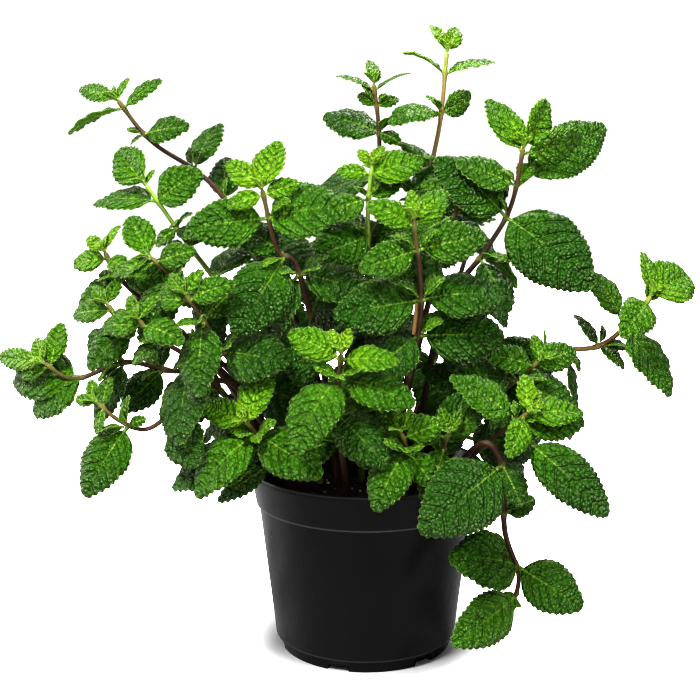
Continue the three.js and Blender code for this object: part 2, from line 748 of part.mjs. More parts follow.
function growLeaves() {
  const lines = SHOOTS.map((shoot) => {
    const line = stemLine(shoot);
    const spots = [];
    for (let d = 0; d < line.length; d += ROOM.spotEvery) spots.push(stemAt(line, d).point);
    return { ...line, name: shoot.name, spots };
  });
  const placed = [];
  for (const aimedOnes of [true, false]) {
    SHOOTS.forEach((shoot, index) => {
      const line = lines[index];
      const random = randomSource(SEED.first + SEED.step * index);
      const room = line.length - STEM.root - STEM.straight - STEM.bare;
      for (let leafIndex = 0; leafIndex < 2 * pairsOf(shoot); leafIndex += 1) {
        const pair = Math.floor(leafIndex / 2);
        const sideOf = leafIndex % 2;
        const draw = Array.from({ length: 7 }, random);
        const isAimed = Boolean(shoot.aims?.[leafName(pair, sideOf)]);
        if (isAimed !== aimedOnes || nodeBelow(shoot, pair) > room) continue;
        const tried = CHANGES.map((change) => leafPose(shoot, line, pair, sideOf, draw, change));
        for (const leaf of tried) {
          const patches = leafPatches(leaf);
          if (hasRoom(leaf, patches, placed, lines)) {
            placed.push({ leaf, patches });
            break;
          }
        }
      }
    });
  }
  return { lines, leaves: placed.map((p) => p.leaf) };
}

// ---------------------------------------------------------------- the plant in its pot

const plastic = new THREE.MeshStandardMaterial({ color: 0x161616, roughness: 0.45, metalness: 0 });
const peat = new THREE.MeshStandardMaterial({ color: 0x2b1d12, roughness: 1, metalness: 0 });
const mint = new THREE.MeshStandardMaterial({ color: 0x2f6b1e, roughness: 0.55, metalness: 0 });

const plant = new THREE.Group();

function place(name, solid, material) {
  const mesh = new THREE.Mesh(geometryOf(solid), material);
  mesh.name = name;
  plant.add(mesh);
}

place('pot', potSolid(), plastic);
place('soil', soilSolid(), peat);
const { lines, leaves } = growLeaves();
SHOOTS.forEach((shoot, index) => {
  const own = leaves.filter((leaf) => leaf.shoot === shoot.name);
  const stem = stemSolid(shoot, lines[index]);
  place(`shoot_${shoot.name}`, own.reduce((solid, leaf) => solid.add(leafSolid(leaf)), stem), mint);
});

export default plant;
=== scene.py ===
import math
from dataclasses import dataclass, field

import bmesh
import bpy
import numpy as np
from mathutils import Matrix, Vector, noise


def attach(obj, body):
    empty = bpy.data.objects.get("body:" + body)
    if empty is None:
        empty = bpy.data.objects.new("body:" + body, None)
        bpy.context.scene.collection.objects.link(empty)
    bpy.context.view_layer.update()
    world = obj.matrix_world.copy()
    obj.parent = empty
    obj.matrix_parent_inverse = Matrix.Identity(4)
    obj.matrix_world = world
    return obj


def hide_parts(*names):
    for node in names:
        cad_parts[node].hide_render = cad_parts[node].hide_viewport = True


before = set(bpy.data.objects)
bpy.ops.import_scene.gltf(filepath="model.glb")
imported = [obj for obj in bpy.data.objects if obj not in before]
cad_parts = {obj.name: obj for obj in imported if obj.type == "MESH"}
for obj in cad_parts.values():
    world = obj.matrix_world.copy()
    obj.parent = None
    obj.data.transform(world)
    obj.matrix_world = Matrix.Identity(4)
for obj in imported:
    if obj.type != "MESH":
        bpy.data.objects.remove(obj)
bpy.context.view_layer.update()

MM = 0.001

# ---------------------------------------------------------------- driving dimensions

POT = dict(
    rim_radius=60, height=95, lip_height=2.6, collar_height=18.7, collar_radius=56,
    body_top_radius=54.6, body_foot_radius=46.4, foot_radius=43.8, foot_height=6,
    wall=1.5, floor=4, foot_step=0.4, lip_out=1.2, lip_wall=1.9, steps=144, rounding=0.35,
)
COLLAR_FOOT = POT["height"] - POT["collar_height"]
DRAIN = dict(
    count=6, first_angle=71.3, width=11, height=2.2, inner=15, past=4, hole_radius=3.4, hole_at=33,
    rounding=0.9, hole_sides=32,
)
# The bed widens by its flare above a height on the collar, and sinks toward the pot's wall.
SOIL = dict(
    surface=84, gap=0.5, flare=0.2, flare_from=78, steps=96, rings=22, lumps=90, lump_height=1.6,
    crumbs=420, crumb_height=0.5, level=0.4, sunk=0.6, bits=620, bit=0.6, bit_more=1.3, squash=0.6,
    pale_every=6, pale_size=0.8,
)
STEM = dict(
    foot=1.9, tip=1.0, root=22, straight=4, bare=14, samples=12, sides=12, step=2.4, square=0.13,
    joint=0.4, joint_reach=1.7,
)
BLADE = dict(stalk=0.12, cup=0.32, fullness=0.62, widest_shift=0.8, tip_taper=0.2)
# How much leaves differ: degrees for bearing and lift, radians for roll and twist, shares of the
# usual sag, arch and size, from least to least plus this much.
LOOSE = dict(bearing=24, lift=14, roll=0.7, twist=0.5, sag=1.2, arch=1, size=0.2)
LEAST = dict(sag=0.4, arch=0.5, size=0.9)
# Gaps that leaves keep: from other stems, from leaves of other shoots and from those of their own.
GAPS = dict(stem=2.2, share=0.55, gap=1.2, own_share=0.4, own_gap=0.5, own_free_rows=3, span=0.75)
# A stem's spots, and a blade's rows and columns, that these gaps are measured between.
SPOT_EVERY = 3
ROWS = 8
COLUMNS = 7
CLEAR = dict(ground=2.5, inside=54, soil=5, rim=3)
SEED = dict(first=1000, step=37, young=5000, young_step=91, soil=7)


@dataclass
class Pair:
    """A pair of leaves at a distance below the tip, and its age: 0 just open, 1 grown."""
    below: float
    length: float
    width: float
    lift: float
    follow: float
    sag: float
    arch: float
    fold: float
    age: float


PAIRS = [
    Pair(1, 15, 0.56, 52, 0.1, 0, 0.35, 0.5, 0.1),
    Pair(5, 25, 0.62, 28, 0.35, 0, 0.6, 0.35, 0.3),
    Pair(17, 35, 0.67, 14, 0.6, 0.05, 0.65, 0.3, 0.6),
    Pair(36, 43, 0.7, 6, 0.75, 0.2, 0.65, 0.25, 0.85),
    Pair(58, 45, 0.7, 0, 0.75, 0.25, 0.6, 0.25, 0.95),
    Pair(82, 42, 0.7, 0, 0.75, 0.3, 0.5, 0.25, 1.0),
    Pair(106, 38, 0.7, 0, 0.75, 0.3, 0.5, 0.25, 1.0),
]
# Where the light that leaves turn to comes from: above, the front and outside the bush.
LIGHT = (0.62, 0.42, 0.5)
AIMED_LIGHT = (0.55, 0.65, 0.35)


@dataclass
class Shoot:
    """A leafy stem: where it leaves the soil, the points it grows through, how far below its tip
    the pairs sit, and the leaves held in their own way: the bearing from the front and the length,
    then the roll in degrees, the stalk as a share of the blade, and the width beside the usual."""
    name: str
    foot: tuple
    path: list
    nodes: tuple = tuple(pair.below for pair in PAIRS)
    aims: dict = field(default_factory=dict)


SHOOTS = [
    Shoot(
        "front_rosette", (-9, -36), [(-14, -58, 132), (-12, -72, 167)],
        nodes=(1, 4, 14, 34, 50),
        aims=dict(
            a0=(115, 13), b0=(68, 13), a1=(158, 28), b1=(0, 27), a2=(232, 43), a3=(330, 36),
            b4=(200, 30),
        ),
    ),
    Shoot(
        "left_front_rosette", (-31, -27), [(-46, -52, 117), (-57, -66, 134)],
        nodes=(1, 4, 12, 24, 36),
        aims=dict(
            a0=(100, 13), b0=(40, 12), a1=(162, 26), b1=(72, 32), a2=(222, 42), b2=(348, 40),
            a3=(199, 50), b4=(214, 36, 0, 0.3, 0.6),
        ),
    ),
    Shoot(
        "right_rosette", (44, -12), [(54, -44, 114), (75, -62, 137)],
        nodes=(1, 4, 9, 14, 34),
        aims=dict(
            a0=(97, 19), b0=(60, 13), a1=(2, 30), b1=(248, 24), a2=(356, 34), b2=(145, 38),
            a3=(310, 64, 0, 0.35, 0.68), b3=(350, 38),
        ),
    ),
    Shoot(
        "trailing", (41, -24), [
            (53, -56, 120), (63, -60, 111), (66, -52, 76), (74, -44, 52), (73, -44, 38.5),
        ],
        nodes=(0.5, 2, 18, 50, 76),
        aims=dict(
            a0=(230, 9), b0=(190, 8), a1=(210, 44), b1=(200, 13), a2=(166, 36, 0, 0.02, 1.4),
            b2=(325, 38, 0, 0.12, 1.1), a3=(20, 18), b3=(35, 22), a4=(211, 56), b4=(290, 22),
        ),
    ),
    Shoot(
        "front_small", (12, -42), [(18, -62, 116), (15, -70, 130)],
        nodes=(1, 5, 12, 22),
        aims=dict(
            a0=(100, 13), b0=(60, 12), a1=(150, 23), b1=(18, 21), a2=(235, 34), b2=(325, 23),
            a3=(170, 26),
        ),
    ),
    Shoot(
        "front_right", (28, -33), [(34, -46, 108), (38, -58, 126)],
        nodes=(1, 4, 11, 20),
        aims=dict(
            a0=(105, 13), b0=(50, 13), a1=(165, 26), b1=(20, 24), a2=(62, 32), b2=(250, 30),
            a3=(200, 32),
        ),
    ),
    Shoot(
        "centre_rosette", (8, -14), [(23, -40, 162), (25, -46, 191), (21, -50, 226)],
        nodes=(1, 5, 16, 40, 58, 80),
        aims=dict(
            a0=(95, 15), b0=(40, 14), a1=(155, 25), b1=(48, 25), a2=(4, 34), b2=(200, 30),
            a3=(191, 43), b3=(2, 41), a4=(338, 42), b4=(215, 38),
        ),
    ),
    Shoot(
        "upper_left_rosette", (-12, -10), [(-31, -34, 194), (-42, -38, 209), (-49, -42, 239)],
        nodes=(1, 4, 15, 36, 48, 70),
        aims=dict(
            a0=(146, 24), b0=(72, 26, 0, 0.06, 1.25), a1=(200, 18), b1=(15, 18), a2=(191, 40),
            b2=(7, 38, 0, 0.05, 1.25), a3=(241, 47), b3=(150, 32), a4=(350, 38),
        ),
    ),
    Shoot(
        "upper_right", (26, 0), [(37, -6, 170), (59, -12, 207), (70, -14, 228), (75, -18, 257)],
        nodes=(1, 4, 20, 36, 60, 84),
        aims=dict(
            a0=(53, 33, 45), b0=(118, 20), a1=(123, 33), b1=(358, 34, 40), a2=(30, 67, 0, 0.2, 0.75),
            b2=(160, 32), a3=(315, 55, 0, 0.06, 1), b3=(150, 46), a4=(300, 32),
        ),
    ),
    Shoot(
        "far_right", (40, 6), [
            (53, 0, 139), (90, -5, 154), (117, -8, 158), (135, -12, 176), (140, -14, 185),
        ],
        nodes=(1, 5, 22, 38, 56, 78),
        aims=dict(
            a0=(99, 24), b0=(20, 32, 0, 0.06, 1.5), a1=(212, 34), b1=(60, 15), a2=(303, 41),
            b2=(130, 36, -20, 0.3), a3=(322, 18), b3=(125, 20),
        ),
    ),
    Shoot(
        "tall_top", (16, 16), [(26, 24, 160), (32, 28, 232), (38, 28, 268), (41, 28, 303)],
        nodes=(1, 12.5, 32, 56, 80, 104),
        aims=dict(
            a0=(118, 19), b0=(60, 19), a1=(149, 25, 50), b1=(18, 29, -50), a2=(20, 22, 30),
            b2=(186, 33, 45),
        ),
    ),
    Shoot(
        "top_middle", (2, 22), [(7, 32, 201), (7, 34, 258), (4, 34, 287)],
        nodes=(1, 4.5, 12.5, 26, 48, 72),
        aims=dict(
            a0=(95, 17), b0=(70, 10), a1=(156, 22, 50), b1=(30, 22, -45), a2=(155, 13), b2=(15, 13),
            a3=(163, 31, 0, 0.04, 1.1), b3=(330, 14),
        ),
    ),
    Shoot(
        "top_left", (-16, 8), [(-33, 5, 163), (-72, 8, 231), (-106, 5, 258), (-122, 0, 279)],
        nodes=(1, 6, 22, 52, 74, 98),
        aims=dict(
            a0=(168, 29, 0, 0.12, 0.65), b0=(65, 13), a1=(35, 24, -30), b1=(202, 31, 45), a2=(8, 27),
            b2=(215, 9), a3=(61, 29), b3=(240, 10), a4=(90, 28), b4=(235, 20),
        ),
    ),
    Shoot(
        "left_long", (-46, 3), [
            (-65, -10, 145), (-95, -14, 146), (-119, -16, 151), (-144, -18, 143), (-159, -20, 152),
        ],
        nodes=(1, 5, 22, 44, 64),
        aims=dict(
            a0=(184, 34, 0, 0.12, 0.65), b0=(122, 17), a1=(77, 24), b1=(194, 24), a2=(190, 45),
            b2=(203, 32, 0, 0.08, 1.2), a3=(248, 34), b3=(140, 30), a4=(70, 32), b4=(228, 29),
        ),
    ),
    Shoot(
        "left_loop", (-37, -25), [
            (-60, -42, 142), (-81, -46, 146), (-93, -48, 133), (-105, -48, 125), (-118, -46, 129),
            (-129, -44, 138),
        ],
        nodes=(1, 5, 20, 46),
        aims=dict(
            a0=(180, 13), b0=(115, 13), a1=(262, 14), b1=(80, 16), a2=(243, 39.5), b2=(20, 10),
            a3=(297, 36, 0, 0.4, 1.2), b3=(100, 14),
        ),
    ),
    Shoot(
        "left_green", (-24, 2), [(-52, -8, 156), (-71, -12, 187), (-86, -14, 208), (-107, -16, 239)],
        nodes=(1, 11, 27, 38, 62, 84),
        aims=dict(
            a0=(122, 30, 0, 0.12, 1.3), b0=(60, 9), a1=(181, 36, 40), b1=(28, 27, 0, 0.06, 1.35),
            a2=(345, 16), b2=(225, 14), a3=(222, 30), b3=(60, 12),
        ),
    ),
    Shoot(
        "left_high", (-33, 14), [(-78, -5, 150), (-117, -22, 191), (-126, -26, 208)],
        aims=dict(a0=(150, 15), b0=(60, 15), a1=(195, 20), b1=(340, 18), a2=(214, 25)),
    ),
    Shoot(
        "left_upper", (-28, -8), [(-63, -32, 184), (-86, -38, 193), (-102, -42, 207)],
        aims=dict(
            a0=(122, 27, 0, 0.12, 1.15), b0=(212, 18), a1=(200, 22), b1=(10, 22), a2=(215, 38),
            b2=(300, 22),
        ),
    ),
    Shoot(
        "left_middle", (-43, -7), [(-81, -22, 158), (-115, -34, 174), (-124, -36, 184)],
        aims=dict(a0=(140, 14), b0=(60, 14), a1=(190, 22), b1=(320, 22), a2=(228, 30)),
    ),
    Shoot(
        "left_middle_low", (-39, -16), [(-79, -40, 152), (-99, -52, 170), (-106, -56, 180)],
        aims=dict(
            a0=(120, 14), b0=(50, 14), a1=(185, 22), b1=(350, 26), a2=(170, 25), b4=(225, 22),
            b5=(235, 32),
        ),
    ),
    Shoot(
        "left_centre", (-30, -18), [(-71, -50, 169), (-84, -58, 192)],
        aims=dict(
            a0=(120, 14), b0=(50, 14), a1=(160, 24), b1=(20, 24), a2=(268, 38), b2=(30, 30),
            b3=(352, 36, 0, 0.1, 1.2),
        ),
    ),
    Shoot(
        "top_middle_low", (-2, 6), [(1, 10, 197), (1, 12, 225), (3, 12, 246)],
        aims=dict(
            a0=(130, 13), b0=(60, 15), a1=(176, 18), b1=(14, 29, 0, 0.04, 1.25), a2=(200, 30),
            b2=(30, 24), a3=(205, 34, 0, 0.05, 1.2),
        ),
    ),
    Shoot(
        "centre_upper_right", (14, 2), [(36, -10, 201), (49, -12, 238)],
        aims=dict(a0=(120, 14), b0=(50, 14), a1=(170, 22), b1=(33, 27), a2=(205, 34), b2=(350, 36)),
    ),
    Shoot(
        "right_middle", (38, -4), [(61, -20, 130), (84, -30, 155)],
        aims=dict(
            a0=(100, 14), b0=(40, 14), a1=(170, 26), b1=(10, 26), a2=(205, 36), b2=(330, 34),
            a3=(150, 40),
        ),
    ),
    Shoot("back_left", (-20, 30), [(-45, 60, 150), (-58, 74, 200)]),
    Shoot("back_middle", (0, 38), [(2, 70, 150), (5, 88, 205)]),
    Shoot("back_right", (22, 32), [(45, 58, 160), (62, 70, 215)]),
    Shoot("back_low_left", (-31, 24), [(-70, 45, 130), (-92, 56, 150)]),
    Shoot("back_low_right", (40, 20), [(72, 42, 122), (97, 52, 140)]),
    Shoot(
        "back_low", (14, 44), [(20, 78, 120), (24, 98, 142)],
        nodes=(1, 5, 17),
    ),
]


# What a leaf takes when its aim leaves it out.
USUAL_AIM = (0, 0, 0, BLADE["stalk"], 1)
# Shoots whose growth is older than it looks by its distance from the tip: a share of the way to 1.
DULL = dict(
    front_rosette=0, left_front_rosette=0, right_rosette=0.05, upper_left_rosette=0.05, tall_top=0.05,
    left_long=0.15, far_right=0.2, left_high=0.1, centre_rosette=0.15, top_middle_low=0,
    upper_right=0.2, front_small=0.3, trailing=0.4,
)
USUAL_DULL = 0.45
# Shoots whose leaves lie flatter than the usual quilted ones.
CALM = dict(trailing=0.45, far_right=0.8, top_middle=0.6)
BARK = dict(
    tall_top="tan", top_middle="dark", upper_right="dark", left_green="green", top_middle_low="green",
    far_right="tan", trailing="dark",
)


# ---------------------------------------------------------------- the rule the plant grows by

UP = np.array((0.0, 0.0, 1.0))
# The random source counts in 32-bit words and moves on by an odd stride.
WORD = 0xFFFFFFFF
STRIDE = 0x6D2B79F5


def unit(vector):
    return vector / np.linalg.norm(vector)


def square_to(vector, axis):
    """The part of a vector that is square to an axis of unit length."""
    return vector - axis * vector.dot(axis)


def random_source(seed):
    """A small repeatable source of numbers from 0 to 1."""
    state = seed & WORD

    def draw():
        nonlocal state
        state = (state + STRIDE) & WORD
        mixed = ((state ^ (state >> 15)) * (state | 1)) & WORD
        mixed ^= (mixed + (mixed ^ (mixed >> 7)) * (mixed | 61)) & WORD
        return (mixed ^ (mixed >> 14)) / (WORD + 1)

    return draw


class Line:
    """A stem's middle line: a straight foot in the soil, then a smooth curve to the tip."""

    def __init__(self, shoot):
        ground = np.array((*shoot.foot, SOIL["surface"] + STEM["straight"]), float)
        knots = [ground, *(np.array(point, float) for point in shoot.path)]
        before = ground - UP * np.linalg.norm(knots[1] - ground)
        after = 2 * knots[-1] - knots[-2]
        knots = [before, *knots, after]
        points = [np.array((*shoot.foot, SOIL["surface"] - STEM["root"]), float), ground]
        for a, b, c, d in zip(knots, knots[1:], knots[2:], knots[3:]):
            for u in np.arange(1, STEM["samples"] + 1) / STEM["samples"]:
                bend = (2 * a - 5 * b + 4 * c - d) * u**2 + (3 * b - a - 3 * c + d) * u**3
                points.append((2 * b + (c - a) * u + bend) / 2)
        self.points = np.array(points)
        steps = np.linalg.norm(np.diff(self.points, axis=0), axis=1)
        self.lengths = np.concatenate(([0], np.cumsum(steps)))
        self.length = self.lengths[-1]
        last = len(points) - 1
        side = np.array((1.0, 0.0, 0.0))
        self.alongs, self.sides = [], []
        for i in range(len(points)):
            along = unit(self.points[min(i + 1, last)] - self.points[max(i - 1, 0)])
            side = unit(square_to(side, along))
            self.alongs.append(along)
            self.sides.append(side)
        marks = np.arange(0, self.length, SPOT_EVERY)
        self.spots = np.array([self.at(mark)[0] for mark in marks])

    def at(self, distance):
        """The point, the way ahead and the side at a distance from the root."""
        i = max(int(np.searchsorted(self.lengths, distance)), 1)
        i = min(i, len(self.lengths) - 1)
        share = (distance - self.lengths[i - 1]) / (self.lengths[i] - self.lengths[i - 1])
        point = self.points[i - 1] + (self.points[i] - self.points[i - 1]) * share
        along = unit(self.alongs[i - 1] + (self.alongs[i] - self.alongs[i - 1]) * share)
        side = self.sides[i - 1] + (self.sides[i] - self.sides[i - 1]) * share
        return point, along, unit(square_to(side, along))


@dataclass
class Leaf:
    """A leaf as its root, three directions and its sizes."""
    shoot: str
    pair: int
    root: np.ndarray
    ahead: np.ndarray
    up: np.ndarray
    length: float
    width: float
    arch: float
    fold: float
    twist: float
    age: float
    seed: float
    stalk_share: float = BLADE["stalk"]

    def __post_init__(self):
        self.up = unit(square_to(self.up, self.ahead))
        self.wide = np.cross(self.ahead, self.up)
        self.stalk = self.length * self.stalk_share
        self.age += (1 - self.age) * DULL.get(self.shoot, USUAL_DULL)

    def rolled(self, roll):
        """The leaf turned about its rib."""
        self.up = self.up * math.cos(roll) + self.wide * math.sin(roll)
        self.wide = np.cross(self.ahead, self.up)
        return self

    def surface(self, t, v, half, rise):
        """The blade, t along its rib from 0 to 1 and v across it from -1 to 1, lifted by rise."""
        turn = self.arch * t
        twist = self.twist * t
        ahead = self.stalk + self.length * np.sin(turn) / self.arch
        drop = self.length * (1 - np.cos(turn)) / self.arch
        normal = np.outer(np.cos(turn), self.up) + np.outer(np.sin(turn), self.ahead)
        wide = np.outer(np.cos(twist), self.wide) + normal * np.sin(twist)[:, None]
        normal = normal * np.cos(twist)[:, None] - np.outer(np.sin(twist), self.wide)
        lifted = half * (self.fold * np.abs(v) - BLADE["cup"] * v * v) + rise
        rib = self.root + np.outer(ahead, self.ahead) - np.outer(drop, self.up)
        return rib + wide * (v * half)[:, None] + normal * lifted[:, None]

    def patches(self):
        """Points spread over the blade, and half the diagonal of the patch that each stands for."""
        t, v = np.meshgrid(np.arange(1, ROWS + 1) / ROWS, np.linspace(-1, 1, COLUMNS), indexing="ij")
        t, v = t.ravel(), v.ravel()
        points = self.surface(t, v, self.width / 2 * outline(t), 0 * t)
        reach = 0.5 * math.hypot(self.length / ROWS, self.width / (COLUMNS - 1))
        middle = self.surface(np.array([0.5]), np.zeros(1), np.zeros(1), np.zeros(1))[0]
        return points, reach, middle, self.length * GAPS["span"]


def outline(t):
    """Half the blade's width as a share of its widest, at a share t of its length."""
    inside = np.clip(t, 0, 1)
    swell = np.clip(np.sin(np.pi * inside ** BLADE["widest_shift"]), 0, 1) ** BLADE["fullness"]
    return swell * (1 - BLADE["tip_taper"] * inside**3)


def light_at(point, light):
    """The way to the light at a point: it leans outward by its share for every 100 mm from the axis."""
    up, front, outward = light
    return unit(np.array((point[0] * outward / 100, point[1] * outward / 100 - front, up)))


def free_hold(node, pair, number, side_of, draw, change):
    """How a leaf leaves its stem: out from it, lifted, turned to the light and sagging."""
    point, along, side = node
    kind = PAIRS[number]
    turn, sag, _ = change
    bearing = math.radians(number * 90 + side_of * 180 + turn + LOOSE["bearing"] * (draw[0] - 0.5))
    out = side * math.cos(bearing) + np.cross(along, side) * math.sin(bearing)
    lift = math.radians(kind.lift + LOOSE["lift"] * (draw[1] - 0.5))
    light = light_at(point, LIGHT)
    ahead = out * math.cos(lift) + along * math.sin(lift)
    ahead = ahead - light * kind.follow * ahead.dot(light)
    ahead = unit(ahead - UP * (kind.sag * (LEAST["sag"] + LOOSE["sag"] * draw[2]) + sag))
    up = along * math.cos(lift) - out * math.sin(lift)
    return ahead, up * (1 - kind.follow) + light * kind.follow


def aimed_hold(node, bearing, arch, change):
    """How an aimed leaf is held: seen from the front at its bearing, and square to the light."""
    turn, sag, _ = change
    angle = math.radians(bearing + turn)
    up = light_at(node[0], AIMED_LIGHT)
    x, z = math.cos(angle), math.sin(angle)
    ahead = unit(np.array((x, -(x * up[0] + z * up[2]) / up[1], z)))
    return unit(ahead + up * (math.tan(arch / 2) - 0.5 * sag)), up


def leaf_for(shoot, line, number, side_of, draw, change):
    """One leaf of a pair, aimed where the shoot's table aims it, and changed to find room."""
    kind = PAIRS[number]
    node = line.at(line.length - shoot.nodes[number])
    aim = shoot.aims.get("ab"[side_of] + str(number), ())
    bearing, reach, lean, stalk, broad = aim + USUAL_AIM[len(aim):]
    arch = kind.arch * (LEAST["arch"] + LOOSE["arch"] * draw[5])
    if aim:
        ahead, up = aimed_hold(node, bearing, arch, change)
        length = reach / (1 + stalk)
    else:
        ahead, up = free_hold(node, kind, number, side_of, draw, change)
        length = kind.length * (LEAST["size"] + LOOSE["size"] * draw[4])
    length *= change[2]
    leaf = Leaf(
        shoot.name, number, node[0], ahead, up, length, length * kind.width * broad, arch, kind.fold,
        LOOSE["twist"] * (draw[6] - 0.5), kind.age, draw[0] + draw[3], stalk,
    )
    return leaf.rolled(LOOSE["roll"] * (draw[3] - 0.5) + math.radians(lean))


# How a leaf gives way to its neighbours: turned by degrees, sagging, and its size.
CHANGES = [
    (0, 0, 1), (16, 0, 1), (-16, 0, 1), (0, 0.3, 1), (0, -0.3, 1), (32, -0.2, 0.95), (-32, -0.2, 0.95),
    (20, 0.4, 0.85), (-20, 0.4, 0.85), (0, -0.5, 0.8), (45, 0, 0.7), (-45, 0, 0.7),
]


def clear_of_pot(points):
    """Whether points stay off the ground, above the soil inside the rim, and clear of the rim."""
    r = np.hypot(points[:, 0], points[:, 1])
    z = points[:, 2]
    beyond = (r > POT["rim_radius"] + CLEAR["rim"]) | (z > POT["height"] + CLEAR["rim"])
    inside = r < CLEAR["inside"]
    above_soil = z > SOIL["surface"] + CLEAR["soil"]
    return bool(np.all((z >= CLEAR["ground"]) & np.where(inside, above_soil, beyond)))


def near(a, b, gap):
    """Whether any point of one set is closer than the gap to any of the other."""
    apart = a[:, None, :] - b[None, :, :]
    return bool((np.einsum("ijk,ijk->ij", apart, apart) < gap * gap).any())


def has_room(leaf, patches, placed, other_stems):
    """Whether a leaf keeps its gaps from the pot, from other stems and from the leaves in place."""
    points, reach, middle, radius = patches
    if not clear_of_pot(points) or near(points, other_stems, reach + GAPS["stem"]):
        return False
    for other, (spots, span, centre, size) in placed:
        if np.linalg.norm(middle - centre) > radius + size:
            continue
        both = reach + span
        if other.shoot != leaf.shoot:
            if near(points, spots, GAPS["share"] * both + GAPS["gap"]):
                return False
        elif leaf.pair > 1 and other.pair > 1:
            inner = GAPS["own_free_rows"] * COLUMNS
            if near(points[inner:], spots[inner:], GAPS["own_share"] * both + GAPS["own_gap"]):
                return False
    return True


def grow():
    """Every stem's line, and every leaf that finds room: aimed ones first, then the free ones."""
    lines = [Line(shoot) for shoot in SHOOTS]
    placed = []
    for aimed_ones in (True, False):
        for index, (shoot, line) in enumerate(zip(SHOOTS, lines)):
            random = random_source(SEED["first"] + SEED["step"] * index)
            others = np.concatenate([other.spots for other in lines if other is not line])
            room = line.length - STEM["root"] - STEM["straight"] - STEM["bare"]
            for order in range(2 * len(shoot.nodes)):
                number, side_of = divmod(order, 2)
                draw = [random() for _ in range(7)]
                is_aimed = "ab"[side_of] + str(number) in shoot.aims
                if is_aimed != aimed_ones or shoot.nodes[number] > room:
                    continue
                for change in CHANGES:
                    leaf = leaf_for(shoot, line, number, side_of, draw, change)
                    patches = leaf.patches()
                    if has_room(leaf, patches, placed, others):
                        placed.append((leaf, patches))
                        break
    return lines, placed


# ---------------------------------------------------------------- leaves as fine meshes

# A blade's mesh: the width of a column, how much columns crowd to the rib, the rows along the stalk,
# the rows that round its base, how steeply effects keep to the edge, and the blade's least half width.
SHEET = dict(column=1.8, least_columns=6, crowding=1.12, stalk_rows=3, edge_power=6, tip_half=0.22)
ROUND_BASE = (0.0, 0.004, 0.014, 0.03)
# Teeth: the length of one, its rows, how far it stands out on a blade of full length, where the first
# begins, its slow side as a share, and how far it leans to the tip.
TEETH = dict(
    length=2.8, rows=4, least=5, depth=1.15, full_length=30, start=0.05, shift=0.12, slow_side=0.75,
    fade=0.06, lean=0.45, until=0.985, least_half=1.2,
)
# Side veins along a grown blade, how many more a young one has, the share that a short one keeps, and
# how they slant, bow, alternate from side to side and stray from an even spacing.
VEINS = dict(
    grown=6.2, young=0.4, short_share=0.6, full_length=35, slant=0.45, bow=0.5, alternate=0.12,
    stray=0.1, stray_turns=0.37,
)
# The blade's form: quilted between the veins, lumpy along them, sunk at the rib, waved at its edge.
# A leaf's seed shifts each of these patterns by a factor of its own.
RELIEF = dict(
    quilt=0.028, least_quilt=0.08, lump=0.42, lump_length=4.2, rib_reach=1.4, flat_edge=0.6,
    groove=0.3, groove_half=1.2, wave=0.022, waves=2.2, rise_by=12,
)
# The stalk's half width, at its least and by the leaf's length, how soon the blade takes over from it
# and how its sides hang.
STALK = dict(half=0.3, by_length=0.011, ends_by=6, round=0.25)
# The wall in millimetres, the thinnest share of it, and the shares at the stalk's sides and the rib.
WALL = dict(
    thick=1.5, thinnest=0.2, stalk_sides=0.45, rib=0.75, rib_half=0.9, least=0.35, full_length=50,
)


def stations(leaf):
    """The rows of a leaf, as shares of its blade: its stalk below 0, its round base, and its teeth."""
    teeth = max(TEETH["least"], round(leaf.length / TEETH["length"]))
    stalk = np.linspace(-leaf.stalk / leaf.length, 0, SHEET["stalk_rows"] + 1)[:-1]
    first = TEETH["start"]
    steps = TEETH["rows"] * (teeth - 1)
    rows = first + (1 - first) * np.arange(steps + 1) / steps
    return np.concatenate((stalk, ROUND_BASE, rows)), teeth


def toothed(t, leaf, teeth):
    """How far the margin stands out past the plain outline, in millimetres, and each tooth's height."""
    start, slow = TEETH["start"], TEETH["slow_side"]
    phase = (np.clip(t - start, 0, 1) / (1 - start) * (teeth - 1) + TEETH["shift"]) % 1
    height = np.where(phase < slow, np.sin(phase / slow * np.pi / 2), (1 - phase) / (1 - slow))
    depth = TEETH["depth"] * min(1.0, leaf.length / TEETH["full_length"]) ** 0.5
    fade = np.clip(t / TEETH["fade"], 0, 1)
    return depth * (height - 0.5) * fade, height * fade


def bell(distance, half):
    """1 at a middle line, falling smoothly to nothing some way past half."""
    return np.exp(-((distance / half) ** 2))


def side_veins(leaf, along, y):
    """Where a point lies among the side veins: a vein runs where this is a whole number."""
    across = np.abs(y)
    grown = min(1, leaf.length / VEINS["full_length"])
    count = VEINS["grown"] + VEINS["young"] * (1 - leaf.age)
    count *= VEINS["short_share"] + (1 - VEINS["short_share"]) * grown
    reach = along - VEINS["slant"] * across - VEINS["bow"] * across**2 / (leaf.width / 2)
    vein = count * reach / leaf.length + VEINS["alternate"] * np.sign(y) + leaf.seed
    return vein + VEINS["stray"] * np.sin(2 * np.pi * VEINS["stray_turns"] * vein + 9 * leaf.seed)


